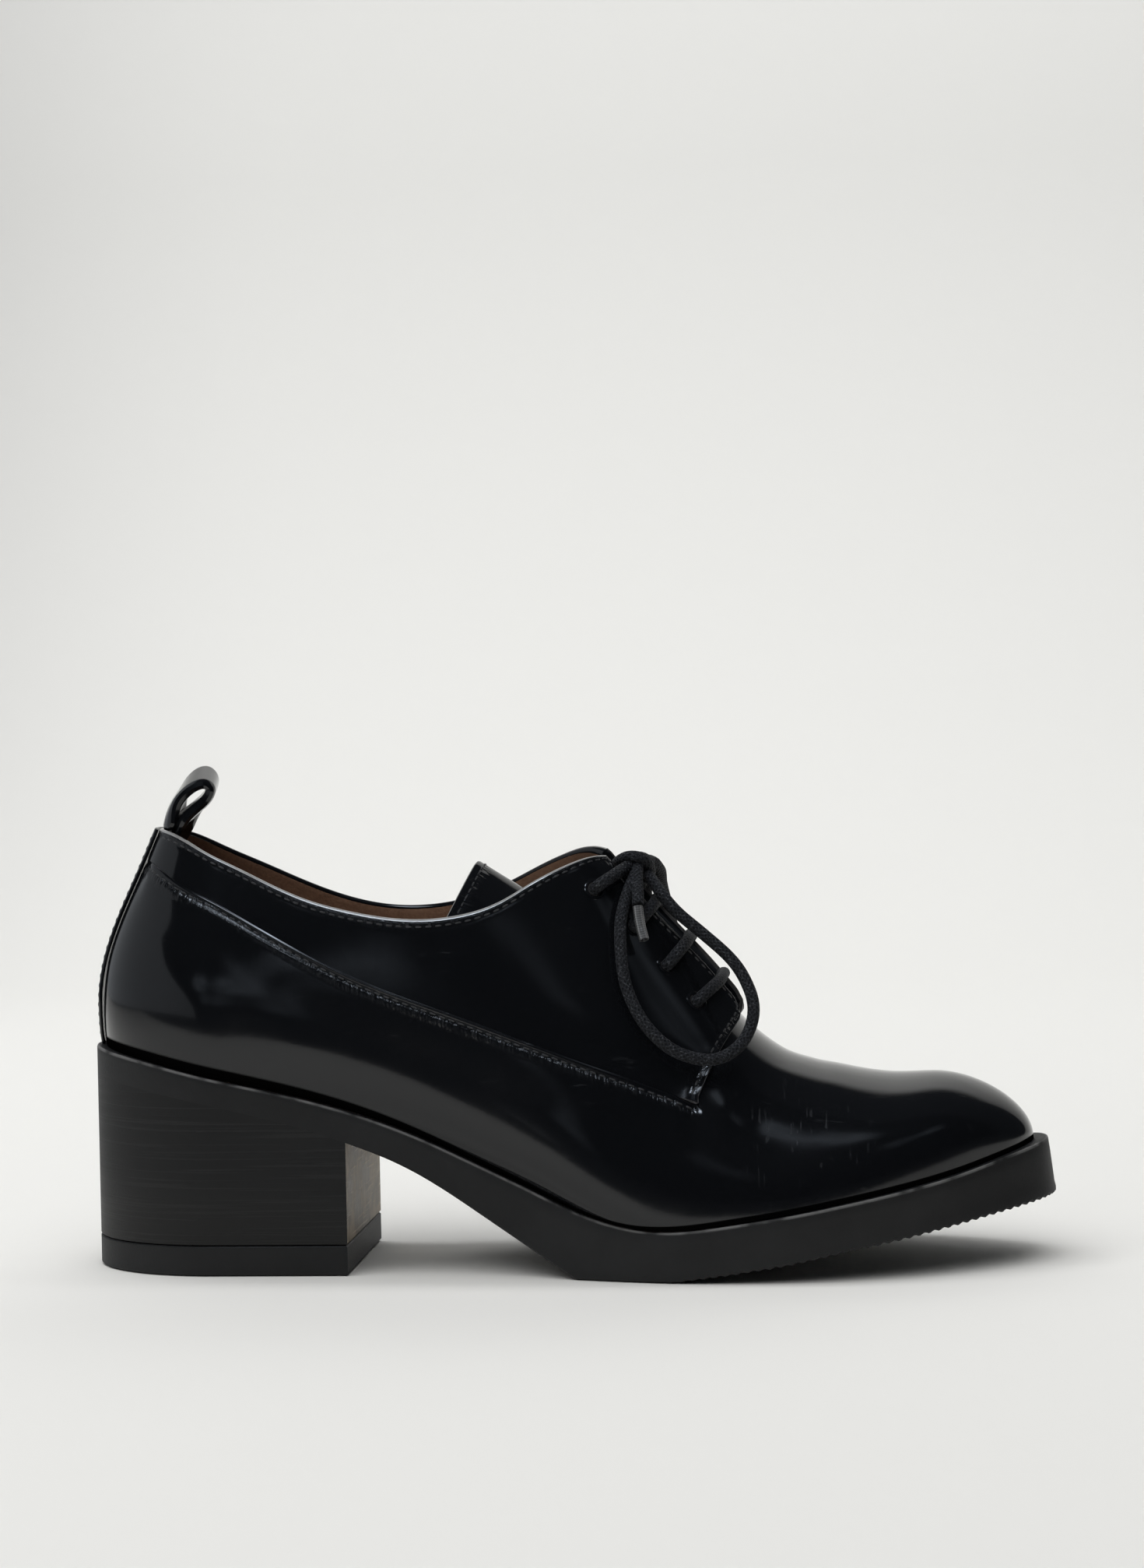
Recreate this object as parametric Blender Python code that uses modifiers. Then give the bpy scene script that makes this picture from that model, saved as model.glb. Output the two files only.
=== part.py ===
"""Heeled derby shoe for the right foot, made as its maker would put it together.

The shoe lies along X with its toe at +X and its outer side at -Y, and it stands on z = 0.
Sizes are in millimetres, measured from the back of the heel. MM turns them into metres,
and the empty that carries the parts moves the middle of the shoe to the origin.
"""
import math

import bmesh
import bpy
import numpy as np

OBJECT_NAME = "heeled_derby_shoe"
MM = 0.001
GAP = 0.3                  # clearance kept between pieces that touch on the real shoe
MIDDLE_X = 127.45          # half of the shoe's length
MIDDLE_Y = -1.6            # halfway between the widest outer and inner points
OUTER, INNER = -1, 1       # sides of the shoe

# Outsole, heel and top lift
SOLE_TIP_X = 253.4
TOE_FLARE = 1.5            # how far the sole's bottom edge runs past its top edge at the tip
TOE_FLARE_FROM = 205.0
HEEL_CENTRE_X = 36.0       # the back of sole, heel and upper is half an ellipse about this line
HEEL_BREAST_X = 71.4
TOP_LIFT_HEIGHT = 8.0
INSOLE_THICKNESS = 2.4
INSOLE_TOE_X = 246.0
SOLE_COLUMNS = ("x", "outer", "inner", "top", "bottom")
SOLE_ROWS = (
    (0.0, 0.0, 0.0, 58.6, 51.4),
    (17.5, 24.5, 24.5, 55.5, 48.2),
    (36.0, 28.6, 28.6, 51.2, 44.2),
    (55.0, 28.6, 28.2, 47.0, 39.6),
    (72.0, 28.6, 27.2, 42.4, 34.2),
    (90.0, 28.8, 25.8, 35.8, 26.2),
    (107.0, 30.2, 25.8, 28.1, 15.4),
    (119.0, 32.6, 27.2, 22.7, 7.6),
    (131.0, 35.8, 29.8, 17.4, 0.0),
    (145.0, 39.4, 33.8, 13.5, 0.0),
    (157.0, 41.8, 37.0, 12.9, 0.0),
    (170.0, 43.0, 39.2, 14.4, 1.8),
    (185.0, 43.0, 39.8, 16.7, 4.2),
    (200.0, 40.6, 38.4, 19.3, 7.2),
    (215.0, 35.6, 34.8, 22.0, 9.7),
    (230.0, 27.0, 28.8, 25.1, 12.5),
    (240.0, 19.2, 22.6, 27.7, 14.3),
    (247.5, 12.0, 16.4, 29.6, 15.5),
    (252.0, 4.6, 10.0, 30.6, 16.2),
)

# Upper: each row is a cross-section of the last, from its feather edge to its ridge
WALL = 1.9
TUCK = math.radians(60.0)  # how far the wall turns under between the bulge and the feather edge
UPPER_TIP_X = 249.6
BACK_FEATHER_REACH = 33.3  # from HEEL_CENTRE_X back to the feather edge
BACK_BULGE_REACH = 34.0
BACK_BULGE_X = HEEL_CENTRE_X - BACK_BULGE_REACH
BACK_LEVELS = {"bulge_z": 69.0, "ridge_z": 132.0, "pinch": 0.217}
UPPER_COLUMNS = ("x", "axis", "outer_feather", "inner_feather", "bulge_z",
                 "outer_bulge", "inner_bulge", "ridge_z", "pinch")
UPPER_ROWS = (
    (36.0, 0.0, 27.2, 27.2, 65.0, 28.4, 28.4, 124.0, 0.185),
    (50.0, 0.0, 27.2, 26.8, 61.5, 29.2, 28.9, 126.0, 0.140),
    (70.0, 0.0, 27.0, 25.6, 55.0, 30.2, 29.2, 130.0, 0.080),
    (90.0, 0.0, 27.0, 24.0, 47.0, 31.8, 29.8, 134.0, 0.060),
    (110.0, 0.0, 28.8, 24.2, 36.5, 34.6, 31.6, 130.0, 0.080),
    (125.0, 0.0, 32.0, 26.8, 28.0, 37.6, 34.2, 121.0, 0.120),
    (138.0, 0.0, 35.4, 29.8, 22.0, 40.2, 36.6, 109.0, 0.150),
    (150.0, 0.0, 38.0, 33.0, 19.0, 41.8, 38.8, 93.5, 0.150),
    (160.0, 0.0, 39.8, 35.4, 18.0, 42.6, 39.8, 80.5, 0.140),
    (172.0, 0.0, 40.6, 37.2, 18.5, 42.6, 40.0, 65.0, 0.100),
    (184.0, 0.0, 40.5, 37.4, 20.0, 41.8, 39.0, 55.0, 0.060),
    (198.0, 0.2, 38.4, 36.0, 22.0, 39.2, 37.0, 50.6, 0.020),
    (212.0, 0.6, 34.2, 32.4, 24.8, 34.8, 33.2, 48.0, -0.030),
    (225.0, 1.1, 27.9, 26.9, 27.6, 28.3, 27.4, 48.0, -0.060),
    (236.0, 1.6, 20.4, 20.0, 30.0, 20.7, 20.4, 45.3, -0.080),
    (244.0, 2.1, 13.4, 13.2, 31.5, 13.6, 13.4, 40.3, -0.060),
)

# Edges of the upper's panels, seen from the side
COLLAR_COLUMNS = ("x", "outer_z", "inner_z")
COLLAR_ROWS = (
    (17.4, 115.6, 115.6), (23.5, 114.2, 114.2), (32.3, 109.8, 110.1), (42.2, 105.1, 105.4),
    (51.8, 100.6, 100.7), (61.3, 96.7, 96.6), (70.8, 94.0, 93.7), (79.8, 92.2, 92.4),
    (88.0, 91.3, 92.5), (96.0, 91.4, 93.7), (102.0, 92.2, 95.4), (108.0, 93.7, 97.7),
    (114.0, 96.3, 100.6), (120.0, 99.8, 103.6), (126.0, 102.9, 106.2), (131.6, 105.2, 107.9),
    (136.5, 106.3, 107.7), (140.5, 105.6, 106.0), (144.5, 103.0, 103.0), (149.0, 98.8, 98.8),
    (176.0, 70.0, 70.0),
)
THROAT_COLUMNS = ("x", "half_gap")
THROAT_ROWS = ((110.0, 4.0), (136.0, 7.5), (143.0, 9.5), (152.0, 8.4), (162.0, 6.8), (176.0, 5.4))
SEAM_COLUMNS = ("x", "z")
SEAM_ROWS = (
    (8.0, 111.0), (19.3, 106.2), (26.9, 101.6), (35.8, 97.1), (44.7, 92.4), (55.0, 86.9),
    (68.8, 79.8), (80.6, 74.7), (96.7, 68.9), (114.4, 62.4), (126.1, 58.1), (137.7, 53.8),
    (149.2, 49.6), (157.8, 46.2), (163.0, 44.2),
)
QUARTER_CORNER_X = 163.0   # where the seam turns up into the quarter's front edge
FRONT_EDGE_LEAN = 10.0     # how far the front edge leans to the toe between corner and throat
LEAN_FROM_X, LEAN_TO_X = 112.0, 240.0
FACING_TIP_Z = 62.6
CORNER_TURN = math.radians(30.0)
THROAT_TURN = math.radians(82.0)
SEAM_STEP = 0.9            # the lower panel stands proud of the quarter along the seam
SEAM_FADE = 11.0
SEAM_END_X = 157.0         # the step runs out between here and the quarter's corner
FACING_LIFT = 2.2          # the quarter's facing stands proud of the vamp
FACING_FADE = 14.0
LIFT_FROM_X, LIFT_FULL_X = 112.0, 150.0
EDGE_LIFT_LENGTH = 8.0     # the lift is full this far behind the front edge, down to the corner

# Tongue: its ridge from the top edge down to its end under the vamp
TONGUE_THICKNESS = 1.6
TONGUE_COLUMNS = ("x", "z", "half_width", "drop", "lean")
TONGUE_ROWS = (
    (104.6, 105.6, 22.5, 17.0, -7.5),
    (117.5, 97.4, 22.0, 14.0, -5.0),
    (130.0, 89.4, 21.0, 11.5, -3.0),
    (143.0, 81.0, 20.0, 9.5, -2.0),
    (155.0, 72.6, 18.5, 8.0, -1.0),
    (165.0, 65.0, 17.0, 7.0, 0.0),
    (174.0, 57.6, 15.5, 6.0, 0.0),
    (181.0, 53.6, 14.5, 5.0, 0.0),
    (187.0, 51.0, 13.5, 4.4, 0.0),
)

# Back strip and pull loop
STRIP_THICKNESS = 1.0
STRIP_HALF_WIDTH_TOP, STRIP_HALF_WIDTH_FOOT = 8.0, 5.0
STRIP_FOOT_TURN = -0.55 * TUCK
STRIP_STEP_FREE_FROM, STRIP_STEP_FREE_TO = 0.28, 0.42
LOOP_WIDTH = 12.0
LOOP_THICKNESS = 1.5
LOOP_BASE_Z = 116.0
LOOP_LEAN_X, LOOP_LEAN_Z = -0.0115, 0.0215   # lean of the loop for each mm of width and height
LOOP_BOW = 2.2             # how far the strap's edges bend forward with the collar's curve
LOOP_FLAT_Z = 127.0        # height at which the strap has become flat
LOOP_ROUTE = (
    (19.7, 116.7), (20.4, 119.4), (22.2, 123.4), (25.0, 127.0), (28.4, 129.6), (31.2, 129.9),
    (33.0, 127.8), (32.2, 125.0), (29.6, 122.4), (26.4, 119.9), (23.9, 117.4), (21.8, 114.2),
    (19.7, 110.5), (18.0, 106.8), (16.8, 103.4),
)

# Lace: straight bars over the facings, then a bow
LACE_RADIUS = 1.6
LACE_CLEAR = 0.4
TAIL_RISE = 0.6            # how much higher the tails pass over the facings' edges
EYELET_COLUMNS = ("eyelet_x", "eyelet_z", "edge_x", "crown")
EYELET_ROWS = (
    (162.0, 68.6, 166.0, 0.8),
    (154.5, 78.1, 157.8, 0.9),
    (146.2, 88.2, 149.6, 1.0),
)
TOP_EYELET_X, TOP_EYELET_Z = 136.4, 98.2
TAIL_EDGE_X, TAIL_EDGE_Z = 140.2, 102.2      # where the lace's tail leaves the facing for the knot
TAIL_ENDS = {
    OUTER: ((142.5, -9.3, 105.9), (144.3, -7.8, 105.0)),
    INNER: ((142.4, 3.6, 106.4), (144.3, 1.8, 105.0)),
}
KNOT_CENTRE = (147.4, -3.0, 103.6)
KNOT_RADII = (4.6, 6.4, 4.4)
OUTER_LOOP_ROUTE = (
    (146.9, -9.5, 102.6), (146.8, -12.1, 101.85), (145.7, -16.7, 98.9), (144.4, -21.0, 94.5),
    (143.7, -24.2, 90.4), (143.7, -26.6, 85.7), (144.1, -28.8, 80.6), (145.0, -30.6, 75.5),
    (146.9, -32.4, 70.3), (149.8, -33.9, 65.3), (153.3, -34.8, 61.3), (157.5, -35.0, 58.1),
    (162.2, -34.7, 56.2), (166.8, -33.6, 55.5), (171.0, -31.4, 56.6), (174.2, -28.6, 58.9),
    (176.4, -25.6, 62.3), (177.4, -23.2, 66.2), (177.1, -21.2, 70.0), (175.8, -19.6, 73.5),
    (173.7, -18.2, 77.3), (170.8, -17.2, 80.8), (167.0, -16.6, 84.3), (162.3, -16.0, 88.3),
    (158.0, -15.4, 92.0), (154.6, -14.3, 95.8), (151.8, -11.4, 99.4), (149.99, -7.84, 101.49),
)
INNER_LOOP_ROUTE = (
    (146.9, 3.5, 102.6), (147.0, 6.2, 101.85), (147.6, 12.4, 101.4), (145.2, 19.8, 96.2),
    (142.6, 24.6, 88.6), (141.4, 28.0, 80.6), (141.2, 31.0, 72.8), (142.2, 33.8, 65.0),
    (144.6, 36.2, 57.6), (148.6, 37.8, 52.4), (153.2, 38.2, 51.6), (156.8, 37.4, 55.6),
    (158.0, 35.6, 62.0), (157.2, 33.2, 69.5), (155.8, 30.4, 77.0), (154.4, 27.2, 84.0),
    (153.2, 24.0, 90.0), (152.2, 19.8, 95.4), (152.2, 14.4, 99.6), (152.7, 9.6, 102.5),
    (152.9, 6.0, 104.5), (152.5, 3.2, 105.6), (151.04, 1.38, 105.53),
)
OUTER_END_ROUTE = (
    (148.6, -8.92, 105.5), (149.3, -10.8, 106.2), (149.5, -14.2, 105.0), (148.7, -18.4, 101.0),
    (148.3, -20.9, 97.4), (148.1, -22.4, 94.4),
)
INNER_END_ROUTE = (
    (147.4, 2.76, 106.42), (147.5, 4.9, 107.5), (147.6, 8.6, 106.9), (147.4, 13.4, 105.2),
    (147.0, 18.8, 102.0), (147.0, 23.4, 97.2), (147.2, 26.2, 92.6),
)
OUTER_AGLET_ROUTE = ((148.08, -22.55, 94.1), (148.6, -24.0, 90.2), (149.8, -25.8, 85.7))
INNER_AGLET_ROUTE = ((147.23, 26.4, 92.3), (147.8, 28.2, 88.2), (148.6, 29.8, 83.6))
AGLET_RADIUS = 1.35

# Fineness of the solids
HEEL_STATIONS = 7
FIRST_HEEL_TURN = math.radians(6.0)          # the back of sole and heel is this much blunt
BLUNT_TIP = 0.3                              # and so is the sole's tip, in mm
BREAST_STATIONS = 4
INSOLE_STATIONS = 20
INSOLE_FIRST_STATION = 0.08
INSOLE_INSET = 1.2
BEHIND_STATIONS, TOE_STATIONS = 19, 15
TUCK_ROWS, LOWER_ROWS, QUARTER_ROWS, RIDGE_ROWS = 3, 5, 6, 2
TONGUE_GRID = (16, 11)
STRIP_GRID = (10, 7)
STRAP_GRID = (28, 5)
BAR_POINTS, TAIL_POINTS, LOOP_POINTS, END_POINTS, AGLET_POINTS = 17, 11, 34, 9, 4
KNOT_SEGMENTS = (12, 8)
WELD = 0.004                                 # vertices closer than this are one
SHARP_ANGLE = math.radians(35.0)
HALVINGS = 40                                # steps of the search for an edge
NUDGE = 1e-4                                 # step for directions on the upper


def column(rows, names, name):
    """One named column of a table."""
    index = names.index(name)
    return np.array([row[index] for row in rows])


def cubic(knots, values, flat_start=False):
    """A cubic curve through the knots, with no bend at its ends, or level at its start."""
    knots = np.asarray(knots, float)
    values = np.asarray(values, float)
    order = np.argsort(knots)
    knots, values = knots[order], values[order]
    count = len(knots)
    step = np.diff(knots)
    slope = np.diff(values) / step
    system = np.zeros((count, count))
    right = np.zeros(count)
    for i in range(1, count - 1):
        system[i, i - 1:i + 2] = step[i - 1], 2 * (step[i - 1] + step[i]), step[i]
        right[i] = 6 * (slope[i] - slope[i - 1])
    system[0, 0] = system[-1, -1] = 1.0
    if flat_start:
        system[0, :2] = 2 * step[0], step[0]
        right[0] = 6 * slope[0]
    bend = np.linalg.solve(system, right)

    def curve(at):
        at = np.asarray(at, float)
        i = np.clip(np.searchsorted(knots, at) - 1, 0, count - 2)
        width = step[i]
        left, rest = (knots[i + 1] - at) / width, (at - knots[i]) / width
        sag = (left ** 3 - left) * bend[i] + (rest ** 3 - rest) * bend[i + 1]
        return left * values[i] + rest * values[i + 1] + sag * width ** 2 / 6

    return curve


def bow_curve(xs, values, tip_x, sign, flat_start=False):
    """A curve over the root of the distance to the toe tip, carried on past the tip.

    Widths change sign there (sign -1), so that they close round the tip like a bow.
    """
    root = np.sqrt(tip_x - np.asarray(xs, float))
    values = np.asarray(values, float)
    knots = np.concatenate([-root, root[::-1]])
    both = np.concatenate([values, sign * values[::-1]])
    if sign < 0:
        knots, both = np.concatenate([knots, [0.0]]), np.concatenate([both, [0.0]])
    curve = cubic(knots, both, flat_start)
    return lambda x: curve(-np.sqrt(np.maximum(tip_x - np.asarray(x, float), 0.0)))


def ramp(value, start, end):
    """0 before start, 1 after end, smooth between."""
    part = np.clip((np.asarray(value, float) - start) / (end - start), 0.0, 1.0)
    return part * part * (3 - 2 * part)


SOLE_X = column(SOLE_ROWS, SOLE_COLUMNS, "x")
sole_top = cubic(SOLE_X, column(SOLE_ROWS, SOLE_COLUMNS, "top"))
SIDE_SOLE_ROWS = [row for row in SOLE_ROWS if row[0] >= HEEL_CENTRE_X]
SIDE_SOLE_X = column(SIDE_SOLE_ROWS, SOLE_COLUMNS, "x")
SOLE_OUTER = column(SIDE_SOLE_ROWS, SOLE_COLUMNS, "outer")
SOLE_INNER = column(SIDE_SOLE_ROWS, SOLE_COLUMNS, "inner")
sole_half_width = bow_curve(SIDE_SOLE_X, (SOLE_OUTER + SOLE_INNER) / 2, SOLE_TIP_X, -1, True)
sole_axis = bow_curve(SIDE_SOLE_X, (SOLE_INNER - SOLE_OUTER) / 2, SOLE_TIP_X, 1, True)


def sole_bottom(x):
    """Underside of the outsole: the arch runs straight down to the flat tread."""
    return np.interp(x, SOLE_X, column(SOLE_ROWS, SOLE_COLUMNS, "bottom"))


def sole_edge(turn, x, side):
    """Plan of the sole's edge: half an ellipse round the heel, then the outline's table."""
    if turn < math.pi / 2:
        half = float(sole_half_width(HEEL_CENTRE_X))
        return HEEL_CENTRE_X * (1 - math.cos(turn)), side * half * math.sin(turn)
    return x, float(sole_axis(x) + side * sole_half_width(x))


UPPER_X = column(UPPER_ROWS, UPPER_COLUMNS, "x")


def level_curve(name):
    """A height column of the upper, as height over the sole, from the back to the tip."""
    xs = np.concatenate([[BACK_BULGE_X], UPPER_X])
    levels = np.concatenate([[BACK_LEVELS[name]], column(UPPER_ROWS, UPPER_COLUMNS, name)])
    return bow_curve(xs, levels - sole_top(xs), UPPER_TIP_X, -1)


upper_axis = bow_curve(UPPER_X, column(UPPER_ROWS, UPPER_COLUMNS, "axis"), UPPER_TIP_X, 1, True)
bulge_height = level_curve("bulge_z")
ridge_height = level_curve("ridge_z")
upper_pinch = bow_curve(np.concatenate([[BACK_BULGE_X], UPPER_X]),
                        np.concatenate([[BACK_LEVELS["pinch"]], column(UPPER_ROWS, UPPER_COLUMNS, "pinch")]),
                        UPPER_TIP_X, 1)
half_widths = {}
for side, word in ((OUTER, "outer"), (INNER, "inner")):
    for level in ("feather", "bulge"):
        widths = column(UPPER_ROWS, UPPER_COLUMNS, word + "_" + level)
        half_widths[side, level] = bow_curve(UPPER_X, widths, UPPER_TIP_X, -1, True)


def lean(x, t):
    """How far a cross-section leans to the toe at turn t, so that one follows the front edge."""
    rise = (np.sin(t) - math.sin(CORNER_TURN)) / (math.sin(THROAT_TURN) - math.sin(CORNER_TURN))
    near = ramp(x, LEAN_FROM_X, QUARTER_CORNER_X) * (1 - ramp(x, QUARTER_CORNER_X, LEAN_TO_X))
    return FRONT_EDGE_LEAN * near * np.maximum(rise, 0.0)


def station_x(u, t=0.0):
    """Length along the shoe at station u, which runs 0..1 round the heel and 1..2 to the toe."""
    x = UPPER_TIP_X - (UPPER_TIP_X - HEEL_CENTRE_X) * (2 - np.maximum(u, 1.0)) ** 2
    return x + lean(x, t)


def station_u(x):
    """Station of an upright cross-section in front of the heel's centre."""
    return 2 - np.sqrt((UPPER_TIP_X - np.asarray(x, float)) / (UPPER_TIP_X - HEEL_CENTRE_X))


def reach(t, feather, bulge, mean, pinch):
    """Distance from the last's axis at turn t: -TUCK at the feather, 0 at the bulge, 90 at the ridge."""
    lift = np.maximum(t, 0.0)
    sine, cosine = np.sin(lift), np.cos(lift)
    over = (mean + (bulge - mean) * cosine ** 2) * cosine * (1 - 4 * pinch * sine ** 2 * cosine ** 2)
    under = (bulge - feather) * (1 - np.cos(np.minimum(t, 0.0))) / (1 - math.cos(TUCK))
    return over - under


def section_point(turn, x, t, side):
    """A point of the upper's plain outer form at turn t of the cross-section at x.

    The turn of the section itself is less than a right angle only round the heel.
    """
    back_way, side_way = np.cos(turn), np.sin(turn)
    bulge_x = np.where(back_way > 1e-9, HEEL_CENTRE_X - BACK_BULGE_REACH * back_way, x)
    feather_x = np.where(back_way > 1e-9, HEEL_CENTRE_X - BACK_FEATHER_REACH * back_way, x)
    feather_z = sole_top(feather_x) + GAP
    bulge_z = feather_z + bulge_height(bulge_x)
    ridge_z = feather_z + ridge_height(bulge_x)
    pinch = upper_pinch(bulge_x)
    feather, bulge = half_widths[side, "feather"](x), half_widths[side, "bulge"](x)
    mean = (half_widths[OUTER, "bulge"](x) + half_widths[INNER, "bulge"](x)) / 2
    across = reach(t, feather, bulge, mean, pinch)
    back = reach(t, BACK_FEATHER_REACH, BACK_BULGE_REACH, BACK_BULGE_REACH, pinch)
    z_over = bulge_z + (ridge_z - bulge_z) * np.sin(np.maximum(t, 0.0))
    z_under = (bulge_z - feather_z) * np.sin(np.maximum(-t, 0.0)) / math.sin(TUCK)
    px = np.where(back_way > 1e-9, HEEL_CENTRE_X - back * back_way, x)
    return np.stack([px, upper_axis(x) + side * across * side_way, z_over - z_under], axis=-1)


def last_point(u, t, side):
    """A point of the upper's plain outer form at station u, with no panel steps."""
    u, t = np.broadcast_arrays(np.asarray(u, float), np.asarray(t, float))
    turn = np.where(u < 1, u * math.pi / 2, math.pi / 2)
    return section_point(turn, station_x(u, t), t, side)


def last_normal(u, t, side):
    """Outward direction of the upper's plain form."""
    u = np.asarray(u, float)
    near_u = np.minimum(u, 2 - 1e-3)
    along = last_point(near_u + NUDGE, t, side) - last_point(near_u - NUDGE, t, side)
    across = last_point(near_u, t + NUDGE, side) - last_point(near_u, t - NUDGE, side)
    normal = np.cross(along, across) * -side
    normal /= np.linalg.norm(normal, axis=-1, keepdims=True)
    tip = np.broadcast_to((u >= 2 - 1e-6)[..., None], normal.shape)
    return np.where(tip, (1.0, 0.0, 0.0), normal)


def first_turn(u, side, passed):
    """Lowest turn t at which the points of station u have passed an edge."""
    u = np.asarray(u, float)
    low, high = np.full_like(u, -TUCK), np.full_like(u, math.pi / 2)
    for _ in range(HALVINGS):
        middle = (low + high) / 2
        over = passed(last_point(u, middle, side))
        low, high = np.where(over, low, middle), np.where(over, middle, high)
    return (low + high) / 2


COLLAR_X = column(COLLAR_ROWS, COLLAR_COLUMNS, "x")
outer_collar_z = cubic(COLLAR_X, column(COLLAR_ROWS, COLLAR_COLUMNS, "outer_z"))
inner_collar_z = cubic(COLLAR_X, column(COLLAR_ROWS, COLLAR_COLUMNS, "inner_z"))
throat_gap = cubic(column(THROAT_ROWS, THROAT_COLUMNS, "x"), column(THROAT_ROWS, THROAT_COLUMNS, "half_gap"))
seam_z = cubic(column(SEAM_ROWS, SEAM_COLUMNS, "x"), column(SEAM_ROWS, SEAM_COLUMNS, "z"))


def collar_z(x, side):
    """Height of the collar's edge; both sides are the same at the back."""
    share = ramp(x, COLLAR_X[0], COLLAR_X[2]) if side == INNER else 0.0
    return outer_collar_z(x) + share * (inner_collar_z(x) - outer_collar_z(x))


def panel_edge(u, side):
    """Turn t of the seam between lower panel and quarter, carried on over the vamp."""
    at = np.minimum(u, station_u(QUARTER_CORNER_X))
    return first_turn(at, side, lambda point: point[..., 2] >= seam_z(point[..., 0]))


def top_edge(u, side):
    """Turn t of the collar and, in front of the facing's top corner, of the throat's edge."""
    def passed(point):
        off_axis = np.abs(point[..., 1] - upper_axis(point[..., 0]))
        in_throat = (off_axis <= throat_gap(point[..., 0])) & (point[..., 0] > THROAT_ROWS[0][0])
        return (point[..., 2] >= collar_z(point[..., 0], side)) | in_throat
    return first_turn(np.minimum(u, station_u(QUARTER_CORNER_X)), side, passed)


def lower_step(u, point):
    """How far the lower panel stands proud of the plain form at a point of it."""
    x, z = point[..., 0], point[..., 2]
    along = ramp(u, STRIP_STEP_FREE_FROM, STRIP_STEP_FREE_TO) * (1 - ramp(x, SEAM_END_X, QUARTER_CORNER_X))
    return SEAM_STEP * along * (1 - ramp(seam_z(x) - z, 0.0, SEAM_FADE))


def quarter_step(point):
    """How far the quarter stands proud of the plain form: its facing lies over the vamp."""
    x, z = point[..., 0], point[..., 2]
    above = z - seam_z(np.minimum(x, QUARTER_CORNER_X))
    front_slope = FRONT_EDGE_LEAN / (FACING_TIP_Z - float(seam_z(QUARTER_CORNER_X)))
    behind_edge = QUARTER_CORNER_X + front_slope * above - x
    inside = np.maximum(ramp(above, 0.0, FACING_FADE), 1 - ramp(behind_edge, 0.0, EDGE_LIFT_LENGTH))
    return FACING_LIFT * ramp(x, LIFT_FROM_X, LIFT_FULL_X) * inside


def surface(u, t, side, off):
    """A point of the upper at a distance off from its plain form."""
    return last_point(u, t, side) + last_normal(u, t, side) * np.asarray(off)[..., None]


def material(name, colour, roughness):
    """A plain finish for one kind of piece."""
    made = bpy.data.materials.new(name)
    made.use_nodes = True
    shader = made.node_tree.nodes["Principled BSDF"]
    shader.inputs["Base Color"].default_value = (*colour, 1.0)
    shader.inputs["Roughness"].default_value = roughness
    shader.inputs["Metallic"].default_value = 0.0
    return made


def place(name, data, finish):
    """An object in the shoe's collection, carried by the shoe's empty."""
    data.materials.append(finish)
    made = bpy.data.objects.new(name, data)
    parts.objects.link(made)
    made.parent = carrier
    return made


def mesh_from_patches(name, patches):
    """One mesh from grids of points in millimetres, welded where they meet."""
    shape = bmesh.new()
    for grid in patches:
        rows, columns = len(grid), len(grid[0])
        corners = [[shape.verts.new(np.asarray(point, float) * MM) for point in row] for row in grid]
        for i in range(rows - 1):
            for j in range(columns - 1):
                shape.faces.new((corners[i][j], corners[i][j + 1], corners[i + 1][j + 1], corners[i + 1][j]))
    bmesh.ops.remove_doubles(shape, verts=shape.verts, dist=WELD * MM)
    bmesh.ops.recalc_face_normals(shape, faces=shape.faces)
    data = bpy.data.meshes.new(name)
    shape.to_mesh(data)
    shape.free()
    data.shade_smooth()
    data.set_sharp_from_angle(angle=SHARP_ANGLE)
    return data


def loft(name, rings, finish):
    """A closed solid through rings of points, with both end rings capped."""
    shape = bmesh.new()
    loops = [[shape.verts.new(np.asarray(point, float) * MM) for point in ring] for ring in rings]
    count = len(loops[0])
    for first, second in zip(loops, loops[1:]):
        for i in range(count):
            shape.faces.new((first[i], first[(i + 1) % count], second[(i + 1) % count], second[i]))
    shape.faces.new(loops[0])
    shape.faces.new(loops[-1])
    bmesh.ops.recalc_face_normals(shape, faces=shape.faces)
    data = bpy.data.meshes.new(name)
    shape.to_mesh(data)
    shape.free()
    data.shade_smooth()
    data.set_sharp_from_angle(angle=SHARP_ANGLE)
    return place(name, data, finish)


def thicken(piece, thickness, offset):
    """Give an open sheet its thickness."""
    sheet = piece.modifiers.new("thickness", "SOLIDIFY")
    sheet.thickness = thickness * MM
    sheet.offset = offset
    sheet.use_even_offset = True


def smooth_route(points, count):
    """Points read from one smooth curve through a route's own points."""
    points = np.asarray(points, float)
    length = np.concatenate([[0.0], np.cumsum(np.linalg.norm(np.diff(points, axis=0), axis=1))])
    at = np.linspace(0.0, length[-1], count)
    return np.stack([cubic(length, points[:, axis])(at) for axis in range(3)], axis=-1)


def cord(name, points, radius, finish):
    """A round cord along points in millimetres."""
    data = bpy.data.curves.new(name, "CURVE")
    data.dimensions = "3D"
    data.bevel_depth = radius * MM
    data.bevel_resolution = 2
    data.use_fill_caps = True
    run = data.splines.new("POLY")
    run.points.add(len(points) - 1)
    for target, point in zip(run.points, points):
        target.co = (*(np.asarray(point) * MM), 1.0)
    return place(name, data, finish)


def heel_turns():
    """Turns round the back of the heel, from just beside its middle line to its widest place."""
    return list(np.linspace(FIRST_HEEL_TURN, math.pi / 2, HEEL_STATIONS))[:-1]


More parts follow.
